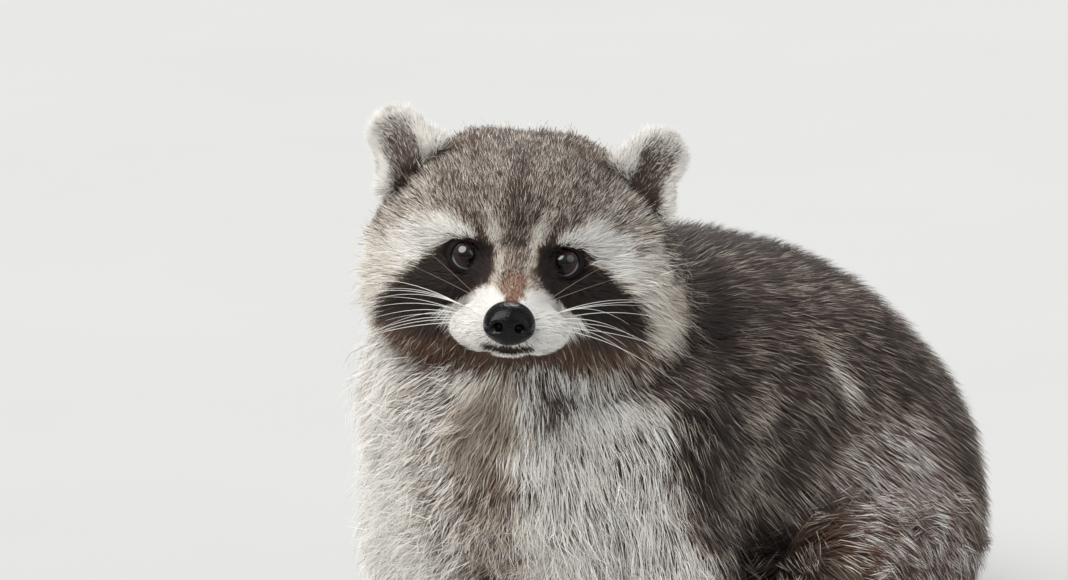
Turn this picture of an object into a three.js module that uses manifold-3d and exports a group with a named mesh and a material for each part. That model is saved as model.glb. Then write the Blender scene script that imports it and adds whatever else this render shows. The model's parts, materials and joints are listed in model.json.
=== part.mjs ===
// A life-size sitting raccoon. Its solids follow the outside of the coat, out to the tips of the hair.
// Millimetres, +Z up. The animal faces -Y with its left side at +X. It sits on its rump and its four feet,
// with the head turned to its left and the tail curled round on the floor behind it.
//
// The body is one blended form, a field made of bones and eggs of flesh. Each named piece is the part of that
// form inside its own region, and a thin gap parts it from its neighbours.
import * as THREE from "three";
import { mergeVertices } from "three/addons/utils/BufferGeometryUtils.js";
import Module from "manifold-3d";

const wasm = await Module();
wasm.setup();

// ---- Driving dimensions ----
const GAP = 0.3; // the thin cut between two neighbours
const WELD = 0.02; // points nearer than this are one point
const SIDES = { left: 1, right: -1 }; // the sign of X on each side

// The head's own frame: X to its left, -Y forward, the origin halfway between the eyes.
const EYES = { x: 30, y: -140, z: 266 };
const HEAD_TURN = 31; // degrees, towards the animal's left
const HEAD_NOD = -3; // degrees, nose down
const HEAD_LEAN = 4; // degrees, left side down
const EYE = { apart: 42, radius: 7.6, deep: 3.6 }; // deep: the centre's distance behind the line of the eyes
const SOCKET = { forward: 9.5, radii: [8.6, 9, 6.9] }; // the opening between the lids, ahead of the eye
const NOSE = { at: [0, -51, -21], radii: [11, 9, 9] };
const NOSTRIL = { at: [5.5, -59, -22.5], radii: [2.6, 3.5, 2.2] };
const EAR = { at: [48.5, 44, 30], outward: 30, forward: 6, opened: 16 }; // its root, and its turns in degrees
const FLAP = {
  root: 22, // radii of the root and the tip
  tip: 13,
  tall: 20,
  thick: 0.55, // as a share of the width
  inner: { at: [-15, 0, -2], radii: [13.2, 10.4] }, // the inner edge, which slopes down to the crown
};
const CUP = { at: [0, -13, 9], radii: [17.6, 11, 20] }; // the hollow in front of the flap
const RIM = 5; // the fillet of the ear's edges

// Forms of flesh: an egg has a place and a radius along each axis, a bone has two ends with a radius each.
// The fillet joins it to the forms before it, and a paired form is repeated on the right side.
const HEAD_FORMS = [
  { name: "braincase", at: [0, 53, 5], radii: [60, 55, 45], fillet: 1 },
  { name: "forehead", at: [0, 24, 18], radii: [40, 36, 26], fillet: 16 },
  { name: "muzzle", from: [0, 6, -12], to: [0, -36, -21], radii: [20, 12.5], fillet: 14 },
  { name: "jaw", from: [0, 12, -25], to: [0, -32, -25], radii: [15, 8.5], fillet: 9 },
  { name: "ruff of the cheek", at: [36, 46, -21], radii: [33, 44, 32], fillet: 22, paired: true },
  { name: "brow", at: [20, 14, 11], radii: [17, 15, 11], fillet: 10, paired: true },
  { name: "lip", at: [12, -27, -26], radii: [14, 21, 11], turn: -14, fillet: 8, paired: true },
  { name: "cheekbone", at: [26, 17, -16], radii: [16, 18, 13], fillet: 10, paired: true },
];
const HEAD_FILLET = 22;
const EAR_FILLET = 7;

// Lines of flesh through points, each [x, y, z, radius], in the animal's frame.
const SPINE = [
  [0, -62, 180, 72], // the shoulders
  [0, 8, 169, 88.5],
  [0, 60, 152, 93.5],
  [0, 100, 132, 100],
  [0, 136, 102, 105], // the rump
];
const TAIL = [
  [0, 204, 56, 36], // the root
  [-12, 264, 40, 40],
  [-54, 316, 39, 42],
  [-118, 336, 38, 41],
  [-180, 318, 34, 37],
  [-216, 282, 27, 27], // the tip
];
const TAIL_CUTS = [0.12, 0.34, 0.56, 0.78]; // where each length of the tail begins, as a share of the whole
const LINE_FILLET = 3;

const SHOULDER = [48, -72, 172];
const ELBOW = [62, -66, 110];
const WRIST = [47, -92, 36];
const HIP = [56, 118, 86];
const KNEE = [86, 20, 86];
const HEEL = [84, 90, 17];
const HIND_TOES = [84, 2, 12];
const BODY_FORMS = [
  { name: "neck", from: [-8, -74, 208], to: [10, -84, 240], radii: [72, 56], fillet: 30 },
  { name: "breast", at: [0, -90, 146], radii: [60, 46, 70], fillet: 30 },
  { name: "upper arm", from: SHOULDER, to: ELBOW, radii: [44, 36], fillet: 26, paired: true },
  { name: "forearm", from: ELBOW, to: WRIST, radii: [32, 18], fillet: 16, paired: true },
  { name: "thigh", from: HIP, to: KNEE, radii: [60, 46], fillet: 26, paired: true },
  { name: "shank", from: KNEE, to: HEEL, radii: [36, 20], fillet: 18, paired: true },
  { name: "hind foot", from: HEEL, to: HIND_TOES, radii: [18, 15], fillet: 12, paired: true },
  { name: "palm", at: [47, -104, 15], radii: [20, 22, 15], fillet: 10, paired: true },
];

// Five toes on each foot, which fan out from the root by so many degrees each. Splay turns them all outwards.
const TOES = {
  forepaw: { root: [47, -112], long: 22, radius: 5.6, fan: 9, splay: 4, apart: 8.6 },
  hindfoot: { root: [84, 0], long: 22, radius: 6, fan: 6, splay: 2, apart: 8.6 },
};
const TOE_SHORTER = 0.07; // how much shorter each toe is than the one nearer the middle, as a share
const TOE_SUNK = 0.8; // cut off flat by the floor
const CLAW = { radius: 1.8, long: 11, dip: 0.35, ahead: 2 };

// The boxes that the pieces are taken from, low and high corner, each in the frame of its own group.
const BOXES = {
  ear: [[-36, -22, 2], [36, 22, 60]],
  muzzle: [[-44, -75, -58], [44, -10, 3]],
  head: [[-100, -20, -48], [100, 74, 80]],
  neck: [[-120, -150, 0], [120, 150, 160]],
  forepaw: [[14, -175, -10], [92, -60, 27]],
  hindfoot: [[62, -90, -10], [130, 112, 28]],
  tail: [[0, -70, -70], [120, 100, 60]],
  chest: [[-130, -200, -5], [130, -8, 300]],
  trunk: [[-150, -60, -5], [150, 260, 300]],
};
const NAPE = { at: [0, -70, 225], slope: 37 }; // the neck's box stands on this slope, in degrees
// The oval drums that the legs are taken from: the inner end's x, the middle's y and z, and the two radii.
const DRUMS = {
  foreleg: { inner: 26, middle: [-74, 82], radii: [58, 108], slope: 0 },
  thigh: { inner: 58, middle: [66, 72], radii: [100, 84], slope: -12 },
};

// The size of the faces on each piece.
const CELL = {
  head: 11,
  muzzle: 8,
  ear: 6,
  neck: 22,
  torso: 28,
  thigh: 27,
  foreleg: 20,
  paw: 13,
  tail: 22,
};

// ---- Fields: negative inside, zero on the coat ----
const clamp = (t) => Math.min(1, Math.max(0, t));
const rad = THREE.MathUtils.degToRad;

// A tapered bone from a to b with the flesh's radius at each end.
function bone(a, b, [ra, rb]) {
  const d = b.map((v, i) => v - a[i]);
  const squared = d[0] ** 2 + d[1] ** 2 + d[2] ** 2;
  return (x, y, z) => {
    const t = clamp(((x - a[0]) * d[0] + (y - a[1]) * d[1] + (z - a[2]) * d[2]) / squared);
    return Math.hypot(x - a[0] - t * d[0], y - a[1] - t * d[1], z - a[2] - t * d[2]) - ra - (rb - ra) * t;
  };
}

// An ellipsoid of flesh with a radius along each axis, turned about Z in degrees.
function egg(centre, radii, turn = 0) {
  const [c, s] = [Math.cos(rad(turn)), Math.sin(rad(turn))];
  return (x, y, z) => {
    const [p, q] = [x - centre[0], y - centre[1]];
    const u = (c * p + s * q) / radii[0];
    const v = (c * q - s * p) / radii[1];
    const w = (z - centre[2]) / radii[2];
    const scaled = Math.hypot(u, v, w);
    const steep = Math.hypot(u / radii[0], v / radii[1], w / radii[2]);
    return steep > 1e-9 ? (scaled * (scaled - 1)) / steep : -Math.min(...radii);
  };
}

// Joins two fields with a fillet.
function blend(first, second, fillet) {
  const h = Math.max(fillet - Math.abs(first - second), 0) / fillet;
  return Math.min(first, second) - (h * h * fillet) / 4;
}

// Cuts the second field out of the first and rounds the edge.
const hollow = (first, second, fillet) => -blend(-first, second, fillet);

// One field from a list of [field, fillet], joined one after another.
const FAR = 1e3;
const join = (parts) => (x, y, z) =>
  parts.reduce((sum, [field, fillet]) => blend(sum, field(x, y, z), fillet), FAR);

const mirrored = ([x, ...rest], sign) => [x * sign, ...rest];

function fleshOf(forms) {
  return forms.flatMap(({ at, from, to, radii, turn = 0, fillet, paired }) =>
    (paired ? Object.values(SIDES) : [1]).map((sign) => {
      const field = at
        ? egg(mirrored(at, sign), radii, turn * sign)
        : bone(mirrored(from, sign), mirrored(to, sign), radii);
      return [field, fillet];
    }),
  );
}

// Round flesh along a smooth line, as a chain of two bones for each span.
const lineOf = (points) => new THREE.CatmullRomCurve3(points.map(([x, y, z]) => new THREE.Vector3(x, y, z)));
function fleshAlong(points) {
  const line = lineOf(points);
  const spans = points.length - 1;
  const radiusAt = (t) => {
    const first = Math.min(Math.floor(t * spans), spans - 1);
    return THREE.MathUtils.lerp(points[first][3], points[first + 1][3], t * spans - first);
  };
  const steps = spans * 2;
  return Array.from({ length: steps }, (_, i) => {
    const ends = [i / steps, (i + 1) / steps];
    const [a, b] = ends.map((t) => line.getPoint(t).toArray());
    return [bone(a, b, ends.map(radiusAt)), LINE_FILLET];
  });
}

// One ear in its own frame: Z towards the tip, -Y out of the cupped face.
function earOf(sign) {
  const top = [0, 0, FLAP.tall];
  const flap = bone([0, 0, 0], top, [FLAP.root, FLAP.tip]);
  const innerEdge = bone(mirrored(FLAP.inner.at, sign), top, FLAP.inner.radii);
  const cup = egg(CUP.at, CUP.radii);
  return (x, y, z) => {
    const v = y / FLAP.thick;
    return hollow(blend(flap(x, v, z), innerEdge(x, v, z), RIM) * FLAP.thick, cup(x, y, z), RIM);
  };
}

// ---- Groups: a frame within its parent, turned about its own X, then Y, then Z, in degrees ----
function frameOf(parent, position, turn = [0, 0, 0]) {
  const group = new THREE.Group();
  group.position.set(...position);
  group.rotation.set(...turn.map(rad), "ZXY");
  parent.add(group);
  group.updateWorldMatrix(true, false);
  return group;
}

const animal = new THREE.Group();
const head = frameOf(animal, [EYES.x, EYES.y, EYES.z], [HEAD_NOD, HEAD_LEAN, HEAD_TURN]);
const ears = {};
for (const [side, sign] of Object.entries(SIDES)) {
  ears[side] = frameOf(head, mirrored(EAR.at, sign), [EAR.forward, sign * EAR.outward, sign * EAR.opened]);
}

// ---- The whole body as one field, in the animal's frame ----
const headField = join(fleshOf(HEAD_FORMS));
const torsoField = join([...fleshAlong(SPINE), ...fleshOf(BODY_FORMS), ...fleshAlong(TAIL)]);
const toHead = head.matrixWorld.clone().invert();
const earFields = Object.entries(SIDES).map(([side, sign]) => [
  ears[side].matrixWorld.clone().invert(),
  earOf(sign),
]);
const local = new THREE.Vector3();
function bodyField(x, y, z) {
  local.set(x, y, z).applyMatrix4(toHead);
  let whole = blend(torsoField(x, y, z), headField(local.x, local.y, local.z), HEAD_FILLET);
  for (const [toEar, ear] of earFields) {
    local.set(x, y, z).applyMatrix4(toEar);
    whole = blend(whole, ear(local.x, local.y, local.z), EAR_FILLET);
  }
  return whole;
}

// ---- From geometry and field to solid ----
function solidOf(geometry, matrix = new THREE.Matrix4()) {
  const bare = geometry.clone().applyMatrix4(matrix);
  bare.deleteAttribute("normal");
  bare.deleteAttribute("uv");
  const merged = mergeVertices(bare, 1e-4);
  const mesh = new wasm.Mesh({
    numProp: 3,
    vertProperties: merged.attributes.position.array,
    triVerts: new Uint32Array(merged.index.array),
  });
  return new wasm.Manifold(mesh);
}

// Moves the vertex at n onto the surface where the field is zero, unless it lies on the side of the box.
function settle(field, vertices, n, cell) {
  const nudge = 0.5;
  for (let round = 0; round < 2; round++) {
    const [x, y, z] = vertices.slice(n, n + 3);
    const here = field(x, y, z);
    if (Math.abs(here) > cell / 2) return;
    const ahead = [field(x + nudge, y, z), field(x, y + nudge, z), field(x, y, z + nudge)];
    const slope = ahead.map((value) => (value - here) / nudge);
    const steep = Math.max(slope[0] ** 2 + slope[1] ** 2 + slope[2] ** 2, 0.2);
    for (let axis = 0; axis < 3; axis++) vertices[n + axis] -= (here * slope[axis]) / steep;
  }
}

// The surface where a field is zero inside a box, closed, with one vertex in each cell that it crosses.
const CORNERS = [0, 1, 2, 3, 4, 5, 6, 7].map((n) => [n & 1, (n >> 1) & 1, n >> 2]);
const RING = [[0, 0], [1, 0], [1, 1], [0, 1]]; // the four cells round an edge
function surfaceOf(field, box, cell) {
  const size = box.getSize(new THREE.Vector3()).toArray();
  const count = size.map((length) => Math.ceil(length / cell) + 2);
  const stride = [1, count[0], count[0] * count[1]];
  const cornerOf = (place) => box.min.toArray().map((low, axis) => low + (place[axis] - 0.5) * cell);
  const eachPlace = (past, visit) => {
    for (let k = 0; k < count[2] - past; k++)
      for (let j = 0; j < count[1] - past; j++)
        for (let i = 0; i < count[0] - past; i++) visit([i, j, k], i + j * stride[1] + k * stride[2]);
  };

  // The outermost layer counts as outside, which closes the surface.
  const value = new Float32Array(count[0] * count[1] * count[2]);
  eachPlace(0, (place, index) => {
    const outermost = place.some((n, axis) => n === 0 || n === count[axis] - 1);
    value[index] = outermost ? cell : field(...cornerOf(place)) || 1e-6;
  });

  const vertices = [];
  const vertexIn = new Map();
  function vertexOf(place) {
    const key = place[0] + place[1] * stride[1] + place[2] * stride[2];
    if (vertexIn.has(key)) return vertexIn.get(key);
    const sum = [0, 0, 0];
    let crossings = 0;
    for (const corner of CORNERS)
      for (let axis = 0; axis < 3; axis++) {
        if (corner[axis]) continue;
        const from = key + corner[0] + corner[1] * stride[1] + corner[2] * stride[2];
        const [v0, v1] = [value[from], value[from + stride[axis]]];
        if (v0 < 0 === v1 < 0) continue;
        for (let n = 0; n < 3; n++) sum[n] += corner[n] + (n === axis ? v0 / (v0 - v1) : 0);
        crossings++;
      }
    const low = cornerOf(place);
    vertices.push(...sum.map((total, axis) => low[axis] + (total / crossings) * cell));
    vertexIn.set(key, vertices.length / 3 - 1);
    return vertexIn.get(key);
  }

  const quads = [];
  eachPlace(1, (place, index) => {
    for (let axis = 0; axis < 3; axis++) {
      const inside = value[index] < 0;
      if (inside === value[index + stride[axis]] < 0) continue;
      const ring = RING.map(([p, q]) => {
        const cellPlace = [...place];
        cellPlace[(axis + 1) % 3] -= p;
        cellPlace[(axis + 2) % 3] -= q;
        return vertexOf(cellPlace);
      });
      quads.push(inside ? ring : ring.reverse());
    }
  });
  for (let n = 0; n < vertices.length; n += 3) settle(field, vertices, n, cell);

  // Each quad is split along its shorter diagonal.
  const apart = (a, b) => Math.hypot(...[0, 1, 2].map((n) => vertices[3 * a + n] - vertices[3 * b + n]));
  const faces = quads.flatMap(([a, b, c, d]) =>
    apart(a, c) < apart(b, d) ? [a, b, c, a, c, d] : [b, c, d, b, d, a],
  );
  const geometry = new THREE.BufferGeometry();
  geometry.setAttribute("position", new THREE.Float32BufferAttribute(vertices, 3));
  geometry.setIndex(faces);
  return geometry;
}

// ---- Regions: convex cutters that can grow all round ----
function boxRegion(group, [low, high]) {
  const size = high.map((v, axis) => v - low[axis]);
  const middle = high.map((v, axis) => (v + low[axis]) / 2);
  const matrix = group.matrixWorld.clone().multiply(new THREE.Matrix4().makeTranslation(...middle));
  return (grow) => solidOf(new THREE.BoxGeometry(...size.map((v) => v + 2 * grow)), matrix);
}

// An oval drum that runs outwards from its inner end.
function drumRegion(sign, { inner, middle: [y, z], radii: [ry, rz], slope }) {
  const long = 200;
  const place = new THREE.Matrix4().makeRotationX(rad(slope)).setPosition(sign * (inner + long / 2), y, z);
  const lying = new THREE.Matrix4().makeRotationZ(Math.PI / 2);
  return (grow) => {
    const scale = new THREE.Matrix4().makeScale(long + 2 * grow, ry + grow, rz + grow);
    return solidOf(new THREE.CylinderGeometry(1, 1, 1, 14), place.clone().multiply(scale).multiply(lying));
  };
}

function ballRegion(group, centre, radii, [around, down] = [12, 8]) {
  return (grow) => {
    const matrix = group.matrixWorld.clone().multiply(new THREE.Matrix4().makeTranslation(...centre));
    matrix.scale(new THREE.Vector3(...radii.map((r) => r + grow)));
    return solidOf(new THREE.SphereGeometry(1, around, down), matrix);
  };
}

// ---- Pieces ----
const finishOf = (color, roughness) => new THREE.MeshStandardMaterial({ color, roughness, metalness: 0 });
const GREY = finishOf(0x8d8175, 0.9);
const DARK = finishOf(0x3d3531, 0.9);
const PALE = finishOf(0xd8d2c6, 0.9);
const WHITE = finishOf(0xf1eee8, 0.9);
const BLACK_NOSE = finishOf(0x15151a, 0.25);
const BROWN_EYE = finishOf(0x2a1710, 0.1);

const taken = []; // the regions of the pieces made so far, grown by the gap
const FLOOR_DEEP = 400;
const below = new THREE.Matrix4().makeTranslation(0, 0, -FLOOR_DEEP / 2);
const floor = solidOf(new THREE.BoxGeometry(2000, 2000, FLOOR_DEEP), below);

// Makes the part of the body inside a region, less what is taken, as a named mesh in its group.
function addPiece(name, group, region, cell, finish, shaped = (solid) => solid) {
  const whole = region(0);
  const { min, max } = whole.boundingBox();
  const box = new THREE.Box3(new THREE.Vector3(...min), new THREE.Vector3(...max)).expandByScalar(2 * cell);
  let solid = solidOf(surfaceOf(bodyField, box, cell)).intersect(whole);
  for (const other of taken) solid = solid.subtract(other);
  solid = shaped(solid).subtract(floor);
  const [largest] = solid.decompose().sort((a, b) => b.volume() - a.volume());
  taken.push(region(GAP));
  addMesh(name, group, largest, finish);
}

// Turns a solid into a named mesh in its group. Points that a cut leaves within a hair of each other are
// welded, and the faces that vanish between them are dropped.
function addMesh(name, group, solid, finish) {
  const { vertProperties, triVerts } = solid.getMesh();
  const cut = new THREE.BufferGeometry();
  cut.setAttribute("position", new THREE.BufferAttribute(new Float32Array(vertProperties), 3));
  cut.setIndex(new THREE.BufferAttribute(new Uint32Array(triVerts), 1));
  const geometry = mergeVertices(cut.applyMatrix4(group.matrixWorld.clone().invert()), WELD);
  const corners = geometry.index.array;
  const faces = [];
  for (let n = 0; n < corners.length; n += 3) {
    const [a, b, c] = corners.slice(n, n + 3);
    if (a !== b && b !== c && c !== a) faces.push(a, b, c);
  }
  geometry.setIndex(faces);
  const mesh = new THREE.Mesh(geometry, finish.clone());
  mesh.name = name;
  group.add(mesh);
}

// ---- Eyes and nose ----
for (const [side, sign] of Object.entries(SIDES)) {
  const centre = [(sign * EYE.apart) / 2, EYE.deep, 0];
  const ball = ballRegion(head, centre, [EYE.radius, EYE.radius, EYE.radius]);
  addMesh(`eye_${side}`, head, ball(0), BROWN_EYE);
  taken.push(ball(GAP));
  taken.push(ballRegion(head, [centre[0], EYE.deep - SOCKET.forward, 0], SOCKET.radii)(0));
}
const noseBall = ballRegion(head, NOSE.at, NOSE.radii);
let nose = noseBall(0);
for (const sign of Object.values(SIDES)) {
  nose = nose.subtract(ballRegion(head, mirrored(NOSTRIL.at, sign), NOSTRIL.radii, [7, 5])(0));
}
addMesh("nose", head, nose, BLACK_NOSE);
taken.push(noseBall(GAP));

// ---- Ears, muzzle, head and neck ----
for (const side of Object.keys(SIDES)) {
  addPiece(`ear_${side}`, ears[side], boxRegion(ears[side], BOXES.ear), CELL.ear, PALE);
}
addPiece("muzzle", head, boxRegion(head, BOXES.muzzle), CELL.muzzle, WHITE);
addPiece("head", head, boxRegion(head, BOXES.head), CELL.head, GREY);
const nape = frameOf(animal, NAPE.at, [NAPE.slope, 0, 0]);
addPiece("neck", nape, boxRegion(nape, BOXES.neck), CELL.neck, GREY);

// ---- Feet: the toes are rounded rods with a claw at the tip, joined to the foot ----
const UPRIGHT = new THREE.Vector3(0, 1, 0); // the way that capsules and cones point
function rodAt(geometry, middle, direction) {
  const turn = new THREE.Quaternion().setFromUnitVectors(UPRIGHT, direction);
  return solidOf(geometry, new THREE.Matrix4().compose(middle, turn, new THREE.Vector3(1, 1, 1)));
}
function withToes(kind, sign) {
  const { root, long, radius, fan, splay, apart } = TOES[kind];
  return (solid) => {
    let foot = solid;
    for (let toe = -2; toe <= 2; toe++) {
      const heading = rad(toe * fan + splay) * sign;
      const forward = new THREE.Vector3(Math.sin(heading), -Math.cos(heading), 0);
      const start = new THREE.Vector3((root[0] + toe * apart) * sign, root[1], 0);
      start.addScaledVector(forward, radius);
      const reach = long * (1 - TOE_SHORTER * Math.abs(toe));
      const middle = start.clone().addScaledVector(forward, reach / 2).setZ(radius - TOE_SUNK);
      foot = foot.add(rodAt(new THREE.CapsuleGeometry(radius, reach, 2, 5), middle, forward));
      const tip = start.clone().addScaledVector(forward, reach + radius + CLAW.ahead).setZ(radius);
      const down = new THREE.Vector3(0, 0, -CLAW.dip).add(forward).normalize();
      foot = foot.add(rodAt(new THREE.ConeGeometry(CLAW.radius, CLAW.long, 4), tip, down));
    }
    return foot;
  };
}
function sidedBox([low, high], sign) {
  const ends = [low[0] * sign, high[0] * sign].sort((a, b) => a - b);
  return [[ends[0], low[1], low[2]], [ends[1], high[1], high[2]]];
}
for (const kind of Object.keys(TOES))
  for (const [side, sign] of Object.entries(SIDES)) {
    const region = boxRegion(animal, sidedBox(BOXES[kind], sign));
    addPiece(`${kind}_${side}`, animal, region, CELL.paw, PALE, withToes(kind, sign));
  }

// ---- Legs, tail and torso ----
for (const kind of Object.keys(DRUMS))
  for (const [side, sign] of Object.entries(SIDES)) {
    addPiece(`${kind}_${side}`, animal, drumRegion(sign, DRUMS[kind]), CELL[kind], GREY);
  }

// Each length of the tail runs on from its cut, less the lengths beyond it, so the tip comes first.
const tailLine = lineOf(TAIL);
for (const [i, cut] of [...TAIL_CUTS.entries()].reverse()) {
  const along = tailLine.getTangent(cut);
  const heading = THREE.MathUtils.radToDeg(Math.atan2(along.y, along.x));
  const length = frameOf(animal, tailLine.getPoint(cut).toArray(), [0, 0, heading]);
  addPiece(`tail_${i + 1}`, length, boxRegion(length, BOXES.tail), CELL.tail, i % 2 ? DARK : GREY);
}
addPiece("chest", animal, boxRegion(animal, BOXES.chest), CELL.torso, PALE);
addPiece("trunk", animal, boxRegion(animal, BOXES.trunk), CELL.torso, GREY);

// The origin is on the floor, under the middle of the box round the whole animal.
const middle = new THREE.Box3().setFromObject(animal, true).getCenter(new THREE.Vector3());
animal.position.set(-middle.x, -middle.y, 0);

export default animal;
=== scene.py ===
# A sitting raccoon, life size, with its head turned to its left and its tail curled round behind it.
# It is put together as a mount is: the hide first, then the eyes and their lids, the nose, the claws,
# the coat in tufts from the face to the tail, and the whiskers last.
import json
import math
from concurrent.futures import ThreadPoolExecutor

import bpy
import numpy as np
from mathutils import Matrix, Vector
from mathutils.kdtree import KDTree

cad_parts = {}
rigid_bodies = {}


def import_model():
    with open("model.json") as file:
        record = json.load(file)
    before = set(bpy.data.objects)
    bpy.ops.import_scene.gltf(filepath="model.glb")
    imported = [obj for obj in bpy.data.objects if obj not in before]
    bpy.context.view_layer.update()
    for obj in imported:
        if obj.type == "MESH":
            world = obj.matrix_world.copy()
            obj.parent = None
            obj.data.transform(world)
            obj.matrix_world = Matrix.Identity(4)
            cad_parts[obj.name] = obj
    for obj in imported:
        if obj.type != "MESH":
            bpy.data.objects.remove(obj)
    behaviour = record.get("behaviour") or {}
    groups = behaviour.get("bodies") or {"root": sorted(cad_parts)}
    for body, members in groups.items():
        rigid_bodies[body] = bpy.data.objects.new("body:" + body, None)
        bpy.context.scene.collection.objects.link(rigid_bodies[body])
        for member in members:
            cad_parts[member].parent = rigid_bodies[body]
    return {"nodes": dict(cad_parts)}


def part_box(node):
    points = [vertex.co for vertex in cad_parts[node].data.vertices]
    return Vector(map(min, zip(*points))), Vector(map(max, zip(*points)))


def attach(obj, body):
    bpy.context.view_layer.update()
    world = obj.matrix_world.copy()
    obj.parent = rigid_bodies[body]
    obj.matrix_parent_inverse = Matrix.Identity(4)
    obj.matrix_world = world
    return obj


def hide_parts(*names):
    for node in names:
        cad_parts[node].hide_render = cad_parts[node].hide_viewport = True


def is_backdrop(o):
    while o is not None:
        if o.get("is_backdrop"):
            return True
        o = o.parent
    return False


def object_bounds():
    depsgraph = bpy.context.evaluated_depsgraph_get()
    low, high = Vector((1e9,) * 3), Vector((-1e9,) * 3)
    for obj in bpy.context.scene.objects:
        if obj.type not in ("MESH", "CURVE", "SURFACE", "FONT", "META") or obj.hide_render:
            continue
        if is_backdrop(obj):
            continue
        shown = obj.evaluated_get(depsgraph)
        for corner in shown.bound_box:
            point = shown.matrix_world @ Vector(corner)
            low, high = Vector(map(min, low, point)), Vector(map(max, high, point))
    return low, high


for spare in list(bpy.data.objects):
    bpy.data.objects.remove(spare)
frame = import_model()
cad_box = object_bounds()

# ---- Camera ----
# A long lens, low and a little to the animal's left, level with the way that its face turns. Its aim is
# beside and below the eyes, so that the back fills the far side of the view.
MM = 0.001
LENS_WIDE, LENS_LONG = 36, 172.5
STANDS = dict(azimuth=math.radians(33), elevation=math.radians(12), away=2.2)
AIM = dict(right=0.00804, down=0.0135)  # from the middle of the eyes


def way_to(azimuth, elevation):
    """The direction that a thing at this azimuth and elevation, in radians, is seen in."""
    level = math.cos(elevation)
    return Vector((math.sin(azimuth) * level, -math.cos(azimuth) * level, math.sin(elevation)))


eye_boxes = {side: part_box(f"eye_{side}") for side in ("left", "right")}
eye_places = {side: (low + high) / 2 for side, (low, high) in eye_boxes.items()}
between_eyes = (eye_places["left"] + eye_places["right"]) / 2

camera_way = way_to(STANDS["azimuth"], STANDS["elevation"])
camera_right = Vector((math.cos(STANDS["azimuth"]), math.sin(STANDS["azimuth"]), 0))
camera_up = camera_way.cross(camera_right)
camera = bpy.data.objects.new("camera", bpy.data.cameras.new("camera"))
camera.data.sensor_width, camera.data.lens = LENS_WIDE, LENS_LONG
camera.location = (
    between_eyes + camera_right * AIM["right"] - camera_up * AIM["down"] + camera_way * STANDS["away"]
)
camera.rotation_euler = camera_way.to_track_quat("Z", "Y").to_euler()
bpy.context.scene.collection.objects.link(camera)
bpy.context.scene.camera = camera

# ---- Hide ----
# The raccoon's skin with its short underfur, one piece from the lips to the tip of the tail. It is drawn over
# forms of flesh, and each form says how deep the coat is on it, how long the hair is and which way it lies.
# Places are in millimetres in the animal's own frame, where it faces -Y, or in the head's or an ear's frame.
SIDES = {"left": 1, "right": -1}
EYES_AT = np.array([30, -140, 266])
EYE = dict(apart=42, deep=3.6)  # deep: the centre's distance behind the line of the eyes
EAR = dict(
    at={1: (51.5, 31, 24.5), -1: (47.3, 31, 26.5)},
    turn={1: (-8, 22, 16), -1: (-8, 26, 16)},
    root_soft=6,
    coat=2.6,
    hair=8,
)
FLAP = dict(root=20.5, tip=16.3, tall=18.5, thick=0.5, inner=(-12.5, 0, 4), inner_radii=(14.5, 16.3))
CUP = dict(at=(0, -13, 8), radii=(19.6, 11.4, 21.5))
FILLETS = dict(ear_rim=5, head=22, ear=4, line=3, socket=2.2)
ZONES = ["face", "crown", "ears", "collar", "chest", "back", "flanks", "haunches", "legs", "feet", "tail"]


def turned(x=0, y=0, z=0):
    """A turn about Y, then X, then Z, in degrees."""
    turns = [Matrix.Rotation(math.radians(angle), 3, axis) for angle, axis in ((z, "Z"), (x, "X"), (y, "Y"))]
    return np.array(turns[0] @ turns[1] @ turns[2])


HEAD_TURN = turned(x=-3, y=4, z=32)
EAR_TURNS = {sign: turned(*np.multiply(EAR["turn"][sign], (1, sign, sign))) for sign in SIDES.values()}
STANDS_AT = np.array(between_eyes) / MM - (EYES_AT + HEAD_TURN @ (0, EYE["deep"], 0))


def to_head(points):
    """Places of the animal's own frame in the head's."""
    return (points - EYES_AT) @ HEAD_TURN


def from_head(points):
    """Places of the head's frame in the animal's own."""
    return np.asarray(points) @ HEAD_TURN.T + EYES_AT


def to_ear(head_points, sign):
    """Places of the head's frame in an ear's, with Z up the ear and Y out of its back."""
    return (head_points - np.multiply(EAR["at"][sign], (sign, 1, 1))) @ EAR_TURNS[sign]


def in_frame(points):
    """Places of the animal's own frame in the model's, in metres."""
    return (np.asarray(points) + STANDS_AT) * MM


# What each form adds to a place near it: its weight, the coat's depth, the hair's length, the lie of the hair,
# the head's and the tail's weight, the share of the way down the tail, and the ear's weight.
WEIGHT, COAT, HAIR, LIE, ON_HEAD, ON_TAIL, DOWN_TAIL, ON_EAR = 0, 1, 2, slice(3, 6), 6, 7, 8, 9


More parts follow.
